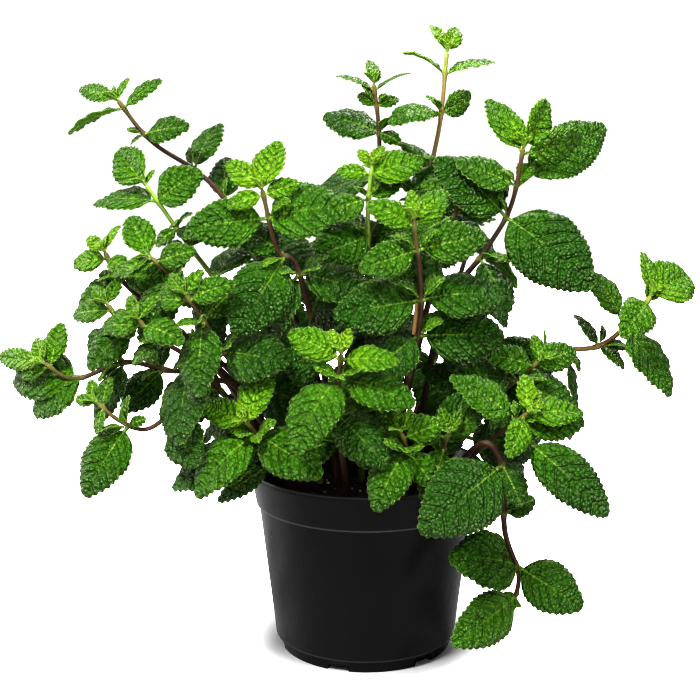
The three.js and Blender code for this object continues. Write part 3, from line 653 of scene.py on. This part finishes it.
def relief(leaf, t, y, half):
    """The blade's own form: hollows along the rib and side veins, quilted between them, waved edge."""
    across = np.abs(y)
    vein = side_veins(leaf, t * leaf.length, y)
    share = across / np.maximum(half, STALK["half"])
    ripple = np.abs(vein % 1 - 0.5) * 2
    from_rib = 1 - bell(across, RELIEF["rib_reach"])
    to_edge = 1 - RELIEF["flat_edge"] * np.clip(share, 0, 1) ** 5
    quilt = RELIEF["quilt"] * leaf.width + RELIEF["least_quilt"]
    quilt = quilt * (0.5 + 0.5 * np.cos(np.pi * ripple))
    beat = 2 * np.pi / RELIEF["lump_length"]
    lump = RELIEF["lump"] * np.sin(beat * across + 2.4 * np.floor(vein) + 5 * leaf.seed) * (1 - ripple)
    domes = (quilt + lump) * CALM.get(leaf.shoot, 1) * from_rib * to_edge
    groove = RELIEF["groove"] * bell(across, RELIEF["groove_half"]) * np.clip(1.1 - t, 0, 1)
    turns = 2 * np.pi * (t * (RELIEF["waves"] + leaf.seed) + 0.5 * np.sign(y))
    wave = RELIEF["wave"] * leaf.width * np.sin(turns + 7 * leaf.seed) * share**2
    return (domes - groove) * np.clip(t * RELIEF["rise_by"], 0, 1) + wave * (t > 0), vein


def thickness(leaf, t, v, y):
    """The wall's share of its full thickness: heaviest in the stalk, then along the rib."""
    stalk = 1 - (1 - WALL["stalk_sides"]) * v**2
    rib = bell(y, WALL["rib_half"]) * np.clip(1.05 - t, 0, 1)
    heavy = np.where(t <= ROUND_BASE[1], stalk, WALL["rib"] * rib)
    return heavy * min(1, WALL["least"] + leaf.length / WALL["full_length"])


def leaf_points(leaf, flat):
    """Where a flat grid from -1 to 1 goes on a leaf, what its materials read there, and its wall."""
    marks, teeth = stations(leaf)
    row = np.rint((flat[:, 1] + 1) / 2 * (len(marks) - 1)).astype(int)
    t = marks[row]
    v = np.sign(flat[:, 0]) * np.abs(flat[:, 0]) ** SHEET["crowding"]
    blade = leaf.width / 2 * outline(np.clip(t, 0, 1))
    stalk = (STALK["half"] + STALK["by_length"] * leaf.length) * np.clip(1 - STALK["ends_by"] * t, 0, 1)
    half = np.maximum(np.maximum(blade, stalk), SHEET["tip_half"])
    y = v * half
    rise, vein = relief(leaf, t, y, half)
    bladed = t > ROUND_BASE[1] / 2
    margin, height = toothed(t, leaf, teeth)
    at_edge = np.abs(v) ** SHEET["edge_power"] * bladed * (half > TEETH["least_half"])
    y = y + np.sign(v) * margin * at_edge
    lean = TEETH["lean"] * TEETH["length"] * height * at_edge * (t < TEETH["until"])
    ahead = np.clip(t, 0, 1) + lean / leaf.length * 0.5
    points = leaf.surface(ahead, y / half, half, rise * bladed)
    on_stalk = t < 0
    points = points + np.outer(np.where(on_stalk, t * leaf.length, 0), leaf.ahead)
    points -= np.outer(np.where(on_stalk, STALK["round"] * v**2, 0), leaf.up)
    place = np.stack((t * leaf.length, y, half - np.abs(y) + margin), axis=1)
    kind = np.stack((np.full_like(t, leaf.age), np.full_like(t, leaf.seed), vein), axis=1)
    return points, place, kind, thickness(leaf, t, v, y)


def add_leaf(bm, leaf, layers):
    """A flat grid laid on the leaf, with what its materials read written on every vertex."""
    marks, _ = stations(leaf)
    columns = max(SHEET["least_columns"], 2 * round(leaf.width / SHEET["column"] / 2))
    sheet = bmesh.ops.create_grid(bm, x_segments=columns, y_segments=len(marks) - 1, size=1)["verts"]
    flat = np.array([vert.co[:2] for vert in sheet])
    points, place, kind, heavy = leaf_points(leaf, flat)
    for vert, point, spot, sort, weight in zip(sheet, points * MM, place, kind, heavy):
        vert.co = point
        vert[layers["place"]] = spot
        vert[layers["kind"]] = sort
        vert[layers["thick"]][0] = weight


# The leaves of buds and axils: how they arch, fold and twist.
YOUNG = dict(arch=0.45, arch_more=0.5, fold=0.45, twist=0.4)
# The pairs folded in a bud: length, lift and turn about the stem in degrees, and how deep they sit.
BUD_PAIRS = [(7.5, 66, 45, 0.6), (4.5, 78, 135, 0)]
BUD = dict(width=0.55, turn=0.4, size=0.85, size_more=0.3)
# Young pairs in the axils: from which pair on, the share of leaves without them, how far out of the
# stem they open, their lengths, spread, lean to the light, ages and width.
AXIL = dict(
    first_pair=2, without=0.3, along=0.7, along_more=0.5, out=2.5, length=6, length_more=7,
    spread=0.45, spread_more=0.3, lift=0.2, upright=0.5, age=0.25, age_more=0.3, width=0.62,
)


def small_leaf(shoot, root, ahead, up, length, width, age, random):
    """A bud's or an axil's leaf, whose width is given as a share of its length."""
    y = YOUNG
    arch = y["arch"] + y["arch_more"] * random()
    twist = y["twist"] * (random() - 0.5)
    return Leaf(
        shoot, 0, root, unit(ahead), up, length, length * width, arch, y["fold"], twist, age, random(),
    )


def bud_leaves(shoot, line, random):
    """The folded pairs that still open at a growing tip."""
    point, along, side = line.at(line.length)
    across = np.cross(along, side)
    made = []
    for size, lift, turn, deep in BUD_PAIRS:
        for half_turn in (0, math.pi):
            bearing = math.radians(turn) + half_turn + BUD["turn"] * (random() - 0.5)
            out = side * math.cos(bearing) + across * math.sin(bearing)
            lifted = math.radians(lift)
            ahead = out * math.cos(lifted) + along * math.sin(lifted)
            up = along * math.cos(lifted) - out * math.sin(lifted)
            length = size * (BUD["size"] + BUD["size_more"] * random())
            root = point - along * deep
            made.append(small_leaf(shoot.name, root, ahead, up, length, BUD["width"], 0, random))
    return made


def axil_leaves(shoot, line, leaves, random):
    """Young pairs that open between a grown leaf and its stem."""
    a = AXIL
    made = []
    for parent in leaves:
        if parent.pair < a["first_pair"] or random() < a["without"]:
            continue
        _, along, _ = line.at(line.length - shoot.nodes[parent.pair])
        out = unit(unit(parent.ahead) + along * (a["along"] + a["along_more"] * random()))
        length = a["length"] + a["length_more"] * random()
        root = parent.root + out * a["out"]
        for way in (-1, 1):
            spread = np.cross(out, along) * way * (a["spread"] + a["spread_more"] * random())
            ahead = unit(out + spread + a["lift"] * UP)
            up = unit(light_at(root, LIGHT) + along * a["upright"])
            age = a["age"] + a["age_more"] * random()
            made.append(small_leaf(shoot.name, root, ahead, up, length, a["width"], age, random))
    return made


def leafy_piece(shoot, line, leaves, random):
    """All the leaves of a shoot as one piece, each a sheet that gets its wall here."""
    bm = bmesh.new()
    layers = {
        "place": bm.verts.layers.float_vector.new("place"),
        "kind": bm.verts.layers.float_vector.new("kind"),
        "thick": bm.verts.layers.deform.verify(),
    }
    every = leaves + bud_leaves(shoot, line, random) + axil_leaves(shoot, line, leaves, random)
    for leaf in every:
        add_leaf(bm, leaf, layers)
    piece = finished(bm, f"leaves_{shoot.name}", [LEAF_FACE, LEAF_BACK])
    piece.vertex_groups.new(name="thick")
    wall = piece.modifiers.new("blade", "SOLIDIFY")
    wall.thickness = WALL["thick"] * MM
    wall.offset = 0
    wall.vertex_group = "thick"
    wall.thickness_vertex_group = WALL["thinnest"]
    wall.material_offset = 1
    wall.material_offset_rim = 1
    return stand_in(piece, f"shoot_{shoot.name}")


# ---------------------------------------------------------------- stems

# The wood at a stem's foot, and the green that it turns to at its tip.
BARKS = {
    "brown": ("44261b", "5d5026"),
    "dark": ("35190f", "5c4324"),
    "tan": ("86683a", "8f9a40"),
    "green": ("6c8430", "86a838"),
}
# Vertices closer than this, in metres, are one.
WELD = 1e-6


def stem_piece(shoot, line):
    """A square stem with rounded corners and a swelling at every pair of leaves."""
    bm = bmesh.new()
    steps = round(line.length / STEM["step"])
    place = bm.verts.layers.float_vector.new("place")
    sheet = bmesh.ops.create_grid(bm, x_segments=STEM["sides"], y_segments=steps, size=1)["verts"]
    nodes = line.length - np.array(shoot.nodes)
    for vert in sheet:
        angle = math.pi * (1 + vert.co.x)
        share = (vert.co.y + 1) / 2
        distance = line.length * share
        point, along, side = line.at(distance)
        joint = 1 + STEM["joint"] * bell(distance - nodes, STEM["joint_reach"]).max()
        half = (STEM["foot"] + (STEM["tip"] - STEM["foot"]) * share) * joint
        half *= 1 - STEM["square"] + STEM["square"] * math.cos(4 * angle)
        if share < WELD or share > 1 - WELD:
            half = 0
        out = side * math.cos(angle) + np.cross(along, side) * math.sin(angle)
        vert.co = (point + out * half) * MM
        to_joint = float(np.abs(distance - nodes).min())
        vert[place] = (line.length - distance, angle, to_joint)
    bmesh.ops.remove_doubles(bm, verts=bm.verts, dist=WELD)
    bmesh.ops.recalc_face_normals(bm, faces=bm.faces)
    bark = STEM_FINISH[BARK.get(shoot.name, "brown")]
    return stand_in(finished(bm, f"stem_{shoot.name}", [bark]), f"shoot_{shoot.name}")


# ---------------------------------------------------------------- pot and soil

def pot_profile():
    """The pot's wall from the middle of its underside, out, up, and down inside."""
    p = POT
    lip_foot = p["height"] - p["lip_height"]
    return [
        (0, 0), (p["foot_radius"], 0), (p["foot_radius"], p["foot_height"] - p["foot_step"]),
        (p["body_foot_radius"], p["foot_height"]), (p["body_top_radius"], COLLAR_FOOT),
        (p["collar_radius"], COLLAR_FOOT), (p["rim_radius"] - p["lip_out"], lip_foot),
        (p["rim_radius"], lip_foot), (p["rim_radius"], p["height"]),
        (p["rim_radius"] - p["lip_wall"], p["height"]),
        (p["collar_radius"] - p["wall"], COLLAR_FOOT + p["wall"]),
        (p["body_top_radius"] - p["wall"], COLLAR_FOOT - p["wall"]),
        (p["body_foot_radius"] - p["wall"], p["foot_height"] + p["floor"]),
        (p["foot_radius"] - p["wall"], p["floor"]), (0, p["floor"]),
    ]


def turned(profile, steps, rounding=0.0):
    """A closed solid turned about the pot's axis, with its profile's corners rounded."""
    bm = bmesh.new()
    verts = [bm.verts.new((r * MM, 0, z * MM)) for r, z in profile]
    for a, b in zip(verts, verts[1:]):
        bm.edges.new((a, b))
    if rounding:
        bmesh.ops.bevel(
            bm, geom=verts[1:-1], affect="VERTICES", offset=rounding * MM, segments=3, profile=0.5,
            material=-1, clamp_overlap=True,
        )
    bmesh.ops.spin(
        bm, geom=bm.verts[:] + bm.edges[:], cent=(0, 0, 0), axis=(0, 0, 1), angle=2 * math.pi,
        steps=steps, use_merge=True,
    )
    bmesh.ops.remove_doubles(bm, verts=bm.verts, dist=WELD)
    bmesh.ops.recalc_face_normals(bm, faces=bm.faces)
    return bm


def drain_cutters():
    """Round-ended channels under the foot, each with a hole through the floor."""
    bm = bmesh.new()
    far = POT["foot_radius"] + DRAIN["past"]
    for i in range(DRAIN["count"]):
        bearing = math.radians(DRAIN["first_angle"] + i * 360 / DRAIN["count"])
        turn = Matrix.Rotation(bearing, 4, "Z")
        spans = (far - DRAIN["inner"], DRAIN["width"], DRAIN["height"] * 2)
        size = Matrix.Diagonal((*(span * MM for span in spans), 1))
        middle = Matrix.Translation(((far + DRAIN["inner"]) / 2 * MM, 0, 0))
        channel = bmesh.ops.create_cube(bm, size=1, matrix=turn @ middle @ size)["verts"]
        edges = list(dict.fromkeys(edge for vert in channel for edge in vert.link_edges))
        bmesh.ops.bevel(
            bm, geom=edges, affect="EDGES", offset=DRAIN["rounding"] * MM, segments=3, profile=0.5,
            material=-1,
        )
        bmesh.ops.create_cone(
            bm, cap_ends=True, segments=DRAIN["hole_sides"], radius1=DRAIN["hole_radius"] * MM,
            radius2=DRAIN["hole_radius"] * MM, depth=POT["floor"] * 3 * MM,
            matrix=turn @ Matrix.Translation((DRAIN["hole_at"] * MM, 0, 0)),
        )
    return bm


def pot_piece():
    """The turned pot with its drain channels and holes cut out."""
    pot = finished(turned(pot_profile(), POT["steps"], POT["rounding"]), "pot_shell", [POT_PLASTIC])
    cutters = finished(drain_cutters(), "drain_cutters", [POT_PLASTIC])
    cut = pot.modifiers.new("drains", "BOOLEAN")
    cut.object = cutters
    cut.operation = "DIFFERENCE"
    cut.solver = "EXACT"
    cut.use_self = True
    shape = bpy.data.meshes.new_from_object(pot.evaluated_get(bpy.context.evaluated_depsgraph_get()))
    pot.modifiers.clear()
    pot.data = shape
    shape.name = "pot_shell"
    bpy.data.objects.remove(cutters)
    return stand_in(pot, "pot")


def soil_profile():
    """The bed from the middle of the pot's floor, out, up inside its wall, and in again in rings."""
    p = POT
    inset = p["wall"] + SOIL["gap"]
    floor = p["floor"] + SOIL["gap"]
    edge = p["collar_radius"] - inset + (SOIL["surface"] - SOIL["flare_from"]) * SOIL["flare"]
    wall = [
        (0, floor), (p["foot_radius"] - inset, floor),
        (p["body_foot_radius"] - inset, p["foot_height"] + floor),
        (p["body_top_radius"] - inset, COLLAR_FOOT - p["wall"]),
    ]
    rings = SOIL["rings"]
    return wall + [(edge * (1 - i / rings), SOIL["surface"]) for i in range(rings + 1)], edge


def roughen(bm, edge):
    """Lumps and crumbs in the bed's surface, which sinks a little at the wall."""
    for vert in bm.verts:
        if vert.co.z > (SOIL["surface"] - 1) * MM:
            r = math.hypot(vert.co.x, vert.co.y) / MM
            lump = noise.fractal(vert.co * SOIL["lumps"], 0.8, 2.1, 4) * SOIL["lump_height"]
            lump += noise.noise(vert.co * SOIL["crumbs"]) * SOIL["crumb_height"]
            vert.co.z += (lump - SOIL["level"] - SOIL["sunk"] * (r / edge) ** 6) * MM


def scatter_bits(bm, edge):
    """Crumbs of peat strewn on the bed, with a pale bit of grit for every few of them."""
    random = random_source(SEED["soil"])
    for i in range(SOIL["bits"]):
        r = (edge - 2) * math.sqrt(random())
        bearing = 2 * math.pi * random()
        pale = i % SOIL["pale_every"] == 0
        size = (SOIL["bit"] + SOIL["bit_more"] * random() ** 2) * (SOIL["pale_size"] if pale else 1)
        where = Vector((r * math.cos(bearing), r * math.sin(bearing), SOIL["surface"] + 0.2)) * MM
        broad = SOIL["squash"] + (1 - SOIL["squash"]) * random()
        squash = Matrix.Diagonal((size * MM, size * broad * MM, size * SOIL["squash"] * MM, 1))
        tilt = Matrix.Rotation(6 * random(), 4, "Z") @ Matrix.Rotation(random() - 0.5, 4, "X")
        bit = bmesh.ops.create_icosphere(
            bm, subdivisions=1, radius=1, matrix=Matrix.Translation(where) @ tilt @ squash
        )["verts"]
        for vert in bit:
            for face in vert.link_faces:
                face.material_index = 1 if pale else 0


def soil_piece():
    """A lumpy bed of peat, level with the soil's solid, with crumbs and pale grit on it."""
    profile, edge = soil_profile()
    bm = turned(profile, SOIL["steps"])
    roughen(bm, edge)
    scatter_bits(bm, edge)
    return stand_in(finished(bm, "soil_bed", [PEAT, GRIT]), "soil")


# ---------------------------------------------------------------- making and naming pieces

def finished(bm, name, materials, smooth=True):
    """A bmesh as an object at the origin, with its materials."""
    mesh = bpy.data.meshes.new(name)
    bm.to_mesh(mesh)
    bm.free()
    for material in materials:
        mesh.materials.append(material)
    if smooth:
        mesh.shade_smooth()
    else:
        mesh.shade_flat()
    piece = bpy.data.objects.new(name, mesh)
    bpy.context.scene.collection.objects.link(piece)
    return piece


def stand_in(piece, node):
    """Lets a piece stand for a node of the solids, on the one body."""
    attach(piece, "root")
    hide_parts(node)
    return piece


# ---------------------------------------------------------------- finishes

def tone(code):
    """A colour written as six hex digits, as the linear light that shaders take."""
    parts = (int(code[i:i + 2], 16) / 255 for i in (0, 2, 4))
    return (*(c / 12.92 if c < 0.04045 else ((c + 0.055) / 1.055) ** 2.4 for c in parts), 1.0)


class Signal:
    """A socket that plain sums can be written on."""

    def __init__(self, finish, socket):
        self.finish = finish
        self.socket = socket

    def sum(self, operation, first, second):
        """A Math node on two values."""
        return self.finish.node("Math", {"operation": operation}, {0: first, 1: second})

    def __add__(self, other):
        return self.sum("ADD", self, other)

    def __sub__(self, other):
        return self.sum("SUBTRACT", self, other)

    def __mul__(self, other):
        return self.sum("MULTIPLY", self, other)

    def __pow__(self, other):
        return self.sum("POWER", self, other)

    def __rsub__(self, other):
        return self.sum("SUBTRACT", other, self)

    __radd__ = __add__
    __rmul__ = __mul__

    def __abs__(self):
        return self.finish.node("Math", {"operation": "ABSOLUTE"}, {0: self})

    def fraction(self):
        return self.finish.node("Math", {"operation": "FRACT"}, {0: self})

    def rise(self, low, high):
        """0 up to low and 1 from high on, or the other way round, with a smooth slope between."""
        mapping = {"Value": self, "From Min": min(low, high), "From Max": max(low, high)}
        if low > high:
            mapping.update({"To Min": 1.0, "To Max": 0.0})
        return self.finish.node("MapRange", {"interpolation_type": "SMOOTHSTEP"}, mapping, "Result")


class Finish:
    """A material, or the room's light, under construction."""

    def __init__(self, name, library=bpy.data.materials):
        self.material = library.new(name)
        self.material.use_nodes = True
        self.tree = self.material.node_tree
        self.tree.nodes.clear()

    def node(self, kind, settings=None, sockets=None, output=0):
        """A node with its settings made first, then its sockets: links, values or colours as codes."""
        made = self.tree.nodes.new(f"ShaderNode{kind}")
        for key, value in (settings or {}).items():
            if key == "stops":
                self.set_stops(made.color_ramp, value)
            else:
                setattr(made, key, value)
        for key, value in (sockets or {}).items():
            if isinstance(value, Signal):
                self.tree.links.new(value.socket, made.inputs[key])
            else:
                made.inputs[key].default_value = tone(value) if isinstance(value, str) else value
        return Signal(self, made.outputs[output]) if len(made.outputs) else made

    @staticmethod
    def set_stops(ramp, stops):
        while len(ramp.elements) < len(stops):
            ramp.elements.new(1)
        for element, (position, colour) in zip(ramp.elements, stops):
            element.position = position
            element.color = tone(colour)

    def parts(self, vector):
        """The three signals that a vector holds."""
        split = self.node("SeparateXYZ", {}, {0: vector}).socket.node
        return [Signal(self, output) for output in split.outputs]

    def joined(self, x, y, z):
        return self.node("CombineXYZ", {}, {"X": x, "Y": y, "Z": z})

    def read(self, attribute):
        return self.node("Attribute", {"attribute_name": attribute}, {}, "Vector")

    def place(self, scale=(1, 1, 1)):
        """The point on the piece, in metres, with its pattern stretched by scale."""
        where = self.node("TexCoord", {}, {}, "Object")
        return self.node("Mapping", {}, {"Vector": where, "Scale": scale})

    def ramp(self, signal, stops):
        return self.node("ValToRGB", {"stops": stops}, {0: signal})

    def noise(self, vector, scale, detail=2.0, roughness=0.5):
        sockets = {"Vector": vector, "Scale": scale, "Detail": detail, "Roughness": roughness}
        return self.node("TexNoise", {}, sockets)

    def cells(self, vector, scale=1.0):
        """How far a point is from the middle of its cell."""
        sockets = {"Vector": vector, "Scale": scale, "Randomness": 0.85}
        return self.node("TexVoronoi", {"feature": "F1"}, sockets, "Distance")

    def blend(self, factor, first, second):
        return self.node("Mix", {"data_type": "RGBA"}, {0: factor, 6: first, 7: second}, 2)

    def painted(self, colour, coats):
        """A colour under coats of paint, each with the signal that says how much of it shows."""
        for share, paint in coats:
            colour = self.blend(share, colour, paint)
        return colour

    def bump(self, height, distance):
        return self.node("Bump", {}, {"Height": height, "Distance": distance, "Strength": 1.0})

    def surface(self, thin=None, thin_share=0.0, **sockets):
        """Ends the material in one Principled shader, with some light let through from behind."""
        named = {}
        for name, value in sockets.items():
            named[name.replace("_", " ").title().replace("Ior", "IOR")] = value
        shader = self.node("BsdfPrincipled", {}, named)
        if thin:
            behind = self.node("BsdfTranslucent", {}, {"Color": thin})
            shader = self.node("MixShader", {}, {0: thin_share, 1: shader, 2: behind})
        self.node("OutputMaterial", {}, {"Surface": shader})
        return self.material


# Greens by age, from just open to old, on a blade's face and back, and peat from damp to dry.
FACE_GREENS = [(0.0, "658c00"), (0.25, "4e7c00"), (0.5, "3d6b00"), (0.78, "2c5800"), (1.0, "1c4602")]
BACK_GREENS = [(0.0, "8db52a"), (0.5, "5f8f22"), (1.0, "3f6f1a")]
PEAT_BROWNS = [(0.3, "120c08"), (0.55, "2c1e14"), (0.75, "4a3625")]
# The tint of the light that a waxy leaf throws back.
SHEEN = (1.0, 1.0, 0.72, 1.0)
# No two leaves share a stretch of the pattern: each starts this far along it for its seed.
SEED_SHIFT = 90
# Painted highlights: pale bands along the pot's edges, their heights and how strongly, and how far a
# band reaches from there.
HIGHLIT_EDGES = [(COLLAR_FOOT, 0.9), (POT["foot_height"], 0.3), (POT["height"] - 1, 0.45)]
HIGHLIGHT_BAND = dict(below=0.1, full_from=0.2, full_to=0.6, above=1.2)
# The floor shows near the pot only: in full up to one distance from its axis, not past the other.
FLOOR = dict(side=3.0, shown=0.045, hidden=0.085)


def leaf_marks(f):
    """What a leaf's vertices hold: millimetres along the rib, from the rib and in from the edge, then
    its age, its seed and its place among the side veins."""
    along, across, edge = f.parts(f.read("place"))
    return along, abs(across), edge, *f.parts(f.read("kind"))


def on_vein(vein):
    """1 on a side vein, 0 halfway to the next."""
    return abs(vein.fraction() - 0.5) * 2


def leaf_face():
    """The upper side: young yellow-green to old deep green, quilted, with sunk veins and a pale rib,
    and shade painted dark into the vein grooves and between the puckers.
    """
    f = Finish("leaf_face")
    along, across, edge, age, seed, vein = leaf_marks(f)
    spot = f.joined(along, across, seed * SEED_SHIFT)
    side_vein = on_vein(vein)
    groove = side_vein.rise(0.7, 0.98) * (0.45 + 0.55 * f.noise(spot, 0.22).rise(0.35, 0.62))
    thread = side_vein.rise(0.93, 1.0)
    rib = across.rise(0.5, 0.18)
    pebbles = f.cells(spot, 0.56)
    grains = f.cells(spot, 1.3)
    domes = (1 - pebbles * pebbles) * 0.8 + (1 - grains * grains) * 0.2
    blotch = f.noise(spot, 0.09, 2.0)
    old = age + (blotch - 0.5) * 0.35 + (0.12 - along.rise(24.0, 0.0) * 0.24)
    green = f.painted(f.ramp(old, FACE_GREENS), [
        # Painted shade: darker green where the puckers meet, at the edges of their cells.
        (pebbles.rise(0.4, 0.7) * 0.12, "1a3c04"),
        # Painted shade: dark green along the sunk side veins.
        (groove * 0.27, "123000"),
        (thread * 0.3, "6f9a2a"),
        (rib * along.rise(30.0, 3.0) * 0.6, "8fae45"),
        (edge.rise(0.4, 0.05) * 0.4, "a3c45c"),
    ])
    return f.surface(
        thin="6ca500", thin_share=0.08,
        base_color=green, roughness=0.33 + groove * 0.2 + (blotch - 0.5) * 0.12,
        normal=f.bump(domes * 0.62 + (1 - groove) * 0.44, 0.0046),
        specular_ior_level=0.6, specular_tint=SHEEN,
    )


def leaf_back():
    """The underside: paler and dull, with raised veins."""
    f = Finish("leaf_back")
    along, across, edge, age, seed, vein = leaf_marks(f)
    side_vein = on_vein(vein).rise(0.86, 1.0)
    rib = across.rise(0.9, 0.35)
    net = f.cells(f.joined(vein * 2.8, across * 0.5, seed * 70))
    blotch = f.noise(f.joined(along, across, seed * SEED_SHIFT), 0.12)
    green = f.painted(f.ramp(age + (blotch - 0.5) * 0.4, BACK_GREENS), [
        (net.rise(0.35, 0.7) * 0.3, "87aa48"),
        (side_vein * 0.25, "8fb055"),
        (rib * 0.5, "9fb868"),
        (edge.rise(0.4, 0.05) * 0.3, "a3c45c"),
    ])
    return f.surface(
        thin="78b00e", thin_share=0.14,
        base_color=green, roughness=0.6 + (blotch - 0.5) * 0.1,
        normal=f.bump(side_vein * 0.7 + rib + net * 0.3, 0.0004),
        specular_ior_level=0.3, specular_tint=SHEEN,
    )


def stem_bark(name, wood, fresh):
    """Square stems: woody at the foot, green at the tip and joints, with fine lengthwise ridges."""
    f = Finish(f"bark_{name}")
    to_tip, angle, to_joint = f.parts(f.read("place"))
    streak = f.noise(f.joined(to_tip * 0.12, angle * 2.5, 0.0), 1.6, 3.0)
    fine = f.noise(f.joined(to_tip * 0.5, angle * 9.0, 3.0), 1.6, 3.0)
    colour = f.painted(f.blend(to_tip.rise(26.0, 2.0), wood, fresh), [
        (streak.rise(0.46, 0.7) * 0.3, "7a7440"),
        (fine.rise(0.5, 0.75) * 0.35, "2f1c14"),
        (to_joint.rise(2.4, 0.4) * 0.35, "6e7a36"),
    ])
    return f.surface(
        base_color=colour, roughness=0.5 + fine * 0.2, normal=f.bump(fine + streak, 0.0002),
        specular_ior_level=0.45,
    )


def rubbed(z, height):
    """A thin band of a turned piece, from a height in millimetres up, where a highlight is painted."""
    foot = height * MM
    band = HIGHLIGHT_BAND
    below = z.rise(foot - band["below"] * MM, foot + band["full_from"] * MM)
    return below * z.rise(foot + band["above"] * MM, foot + band["full_to"] * MM)


def pot_plastic():
    """Black moulded plastic, satin, with faint streaks and dust, and painted highlights as pale bands
    along its edges.
    """
    f = Finish("pot_plastic")
    streaks = f.noise(f.place((1, 1, 0.12)), 260, 4.0, 0.6)
    smudge = f.noise(f.place(), 42, 3.0)
    grain = f.noise(f.place(), 2600, 2.0)
    _, _, z = f.parts(f.place())
    black = f.blend(smudge.rise(0.45, 0.75) * 0.5, "070707", "0b0b0b")
    colour = f.painted(black, [
        (streaks.rise(0.6, 0.8) * 0.2, "161615"),
        # Painted highlights: pale bands at the collar's foot, the pot's foot and the rim.
        *((rubbed(z, height) * strength, "4c4c4b") for height, strength in HIGHLIT_EDGES),
    ])
    return f.surface(
        base_color=colour, roughness=0.26 + (smudge - 0.5) * 0.12 + (streaks - 0.5) * 0.1,
        normal=f.bump(grain * 0.6 + streaks * 0.4, 0.00004), specular_ior_level=0.21,
    )


def peat():
    """Damp peat: near black to dark brown, dull and crumbly."""
    f = Finish("peat")
    crumb = f.noise(f.place(), 620, 5.0, 0.65)
    patch = f.noise(f.place(), 90, 2.0)
    colour = f.ramp(crumb + (patch - 0.5) * 0.5, PEAT_BROWNS)
    return f.surface(base_color=colour, roughness=0.85 + crumb * 0.15, normal=f.bump(crumb, 0.0008))


def grit():
    """Pale bits of perlite in the peat."""
    f = Finish("grit")
    pitted = f.noise(f.place(), 1500, 3.0)
    colour = f.blend(pitted.rise(0.4, 0.7), "8d8a80", "c9c6bc")
    return f.surface(base_color=colour, roughness=0.8 + pitted * 0.1, normal=f.bump(pitted, 0.0003))


def pale_floor():
    """A plain pale floor that throws light back everywhere, and is seen near the pot only."""
    f = Finish("pale_floor")
    speck = f.noise(f.place(), 30, 2.0)
    x, y, _ = f.parts(f.place())
    near_pot = ((x * x + y * y) ** 0.5).rise(FLOOR["hidden"], FLOOR["shown"])
    seen = f.node("LightPath", {}, {}, "Is Camera Ray")
    return f.surface(
        base_color=f.blend(speck, "9a9a9a", "9e9e9e"), roughness=0.5 + speck * 0.1,
        alpha=1 - seen * (1 - near_pot),
    )


LEAF_FACE = leaf_face()
LEAF_BACK = leaf_back()
STEM_FINISH = {name: stem_bark(name, *colours) for name, colours in BARKS.items()}
POT_PLASTIC = pot_plastic()
PEAT = peat()
GRIT = grit()
PALE_FLOOR = pale_floor()

# ---------------------------------------------------------------- the object

LINES, PLACED = grow()
for index, (shoot, line) in enumerate(zip(SHOOTS, LINES)):
    own = [leaf for leaf, _ in PLACED if leaf.shoot == shoot.name]
    leafy_piece(shoot, line, own, random_source(SEED["young"] + SEED["young_step"] * index))
    stem_piece(shoot, line)
pot_piece()
soil_piece()

# ---------------------------------------------------------------- floor, light and camera

# The room's light: what comes from all round, how much more from overhead, and where that starts.
ROOM = dict(level=0.03, overhead=0.45, starts=-0.1)
# The name, place, size and power of each soft lamp, in metres and watts, all aimed at one point.
LAMPS_AIM = (0, 0, 0.17)
LAMPS = [
    ("key", (-0.5, -0.7, 1.3), 0.4, 38),
    ("right", (0.8, -0.75, 1.0), 0.6, 14),
    ("low_front", (0.15, -1.3, 0.4), 1.0, 6),
    ("left_edge", (-1.0, 0.35, 0.35), 0.6, 6),
    ("back_top", (0.3, 0.9, 1.1), 0.6, 8),
]
# The camera's place in metres, its tilt down in degrees, and its lens and sensor in millimetres.
CAMERA = dict(place=(-0.00804, -0.6694, 0.2837), down=10.96, lens=69.43, sensor=36)


def floor():
    bm = bmesh.new()
    bmesh.ops.create_grid(bm, x_segments=1, y_segments=1, size=FLOOR["side"] / 2)
    ground = finished(bm, "floor", [PALE_FLOOR], smooth=False)
    ground.is_shadow_catcher = True


def soft_light(name, place, size, power):
    """A round lamp that faces the plant."""
    lamp = bpy.data.lights.new(name, "AREA")
    lamp.shape = "DISK"
    lamp.size = size
    lamp.energy = power
    holder = bpy.data.objects.new(name, lamp)
    holder.location = place
    towards = Vector(LAMPS_AIM) - Vector(place)
    holder.rotation_euler = towards.to_track_quat("-Z", "Y").to_euler()
    bpy.context.scene.collection.objects.link(holder)


def white_room():
    """A room that is white to look at, and gives a soft light that is brightest overhead."""
    f = Finish("white_room", bpy.data.worlds)
    _, _, upward = f.parts(f.node("TexCoord", {}, {}, "Generated"))
    strength = upward.rise(ROOM["starts"], 1.0) * ROOM["overhead"] + ROOM["level"]
    dim = f.node("Background", {}, {"Color": (1, 1, 1, 1), "Strength": strength})
    white = f.node("Background", {}, {"Color": (1, 1, 1, 1), "Strength": 1.0})
    seen = f.node("LightPath", {}, {}, "Is Camera Ray")
    f.node("OutputWorld", {}, {"Surface": f.node("MixShader", {}, {0: seen, 1: dim, 2: white})})
    return f.material


def studio():
    """The lamps, the room's light, and how the light is turned into colours."""
    for lamp in LAMPS:
        soft_light(*lamp)
    bpy.context.scene.world = white_room()
    bpy.context.scene.view_settings.view_transform = "Standard"
    bpy.context.scene.view_settings.look = "High Contrast"


def camera():
    lens = bpy.data.cameras.new("camera")
    lens.lens = CAMERA["lens"]
    lens.sensor_width = CAMERA["sensor"]
    holder = bpy.data.objects.new("camera", lens)
    holder.location = CAMERA["place"]
    holder.rotation_euler = (math.radians(90 - CAMERA["down"]), 0, 0)
    bpy.context.scene.collection.objects.link(holder)
    bpy.context.scene.camera = holder


floor()
studio()
camera()
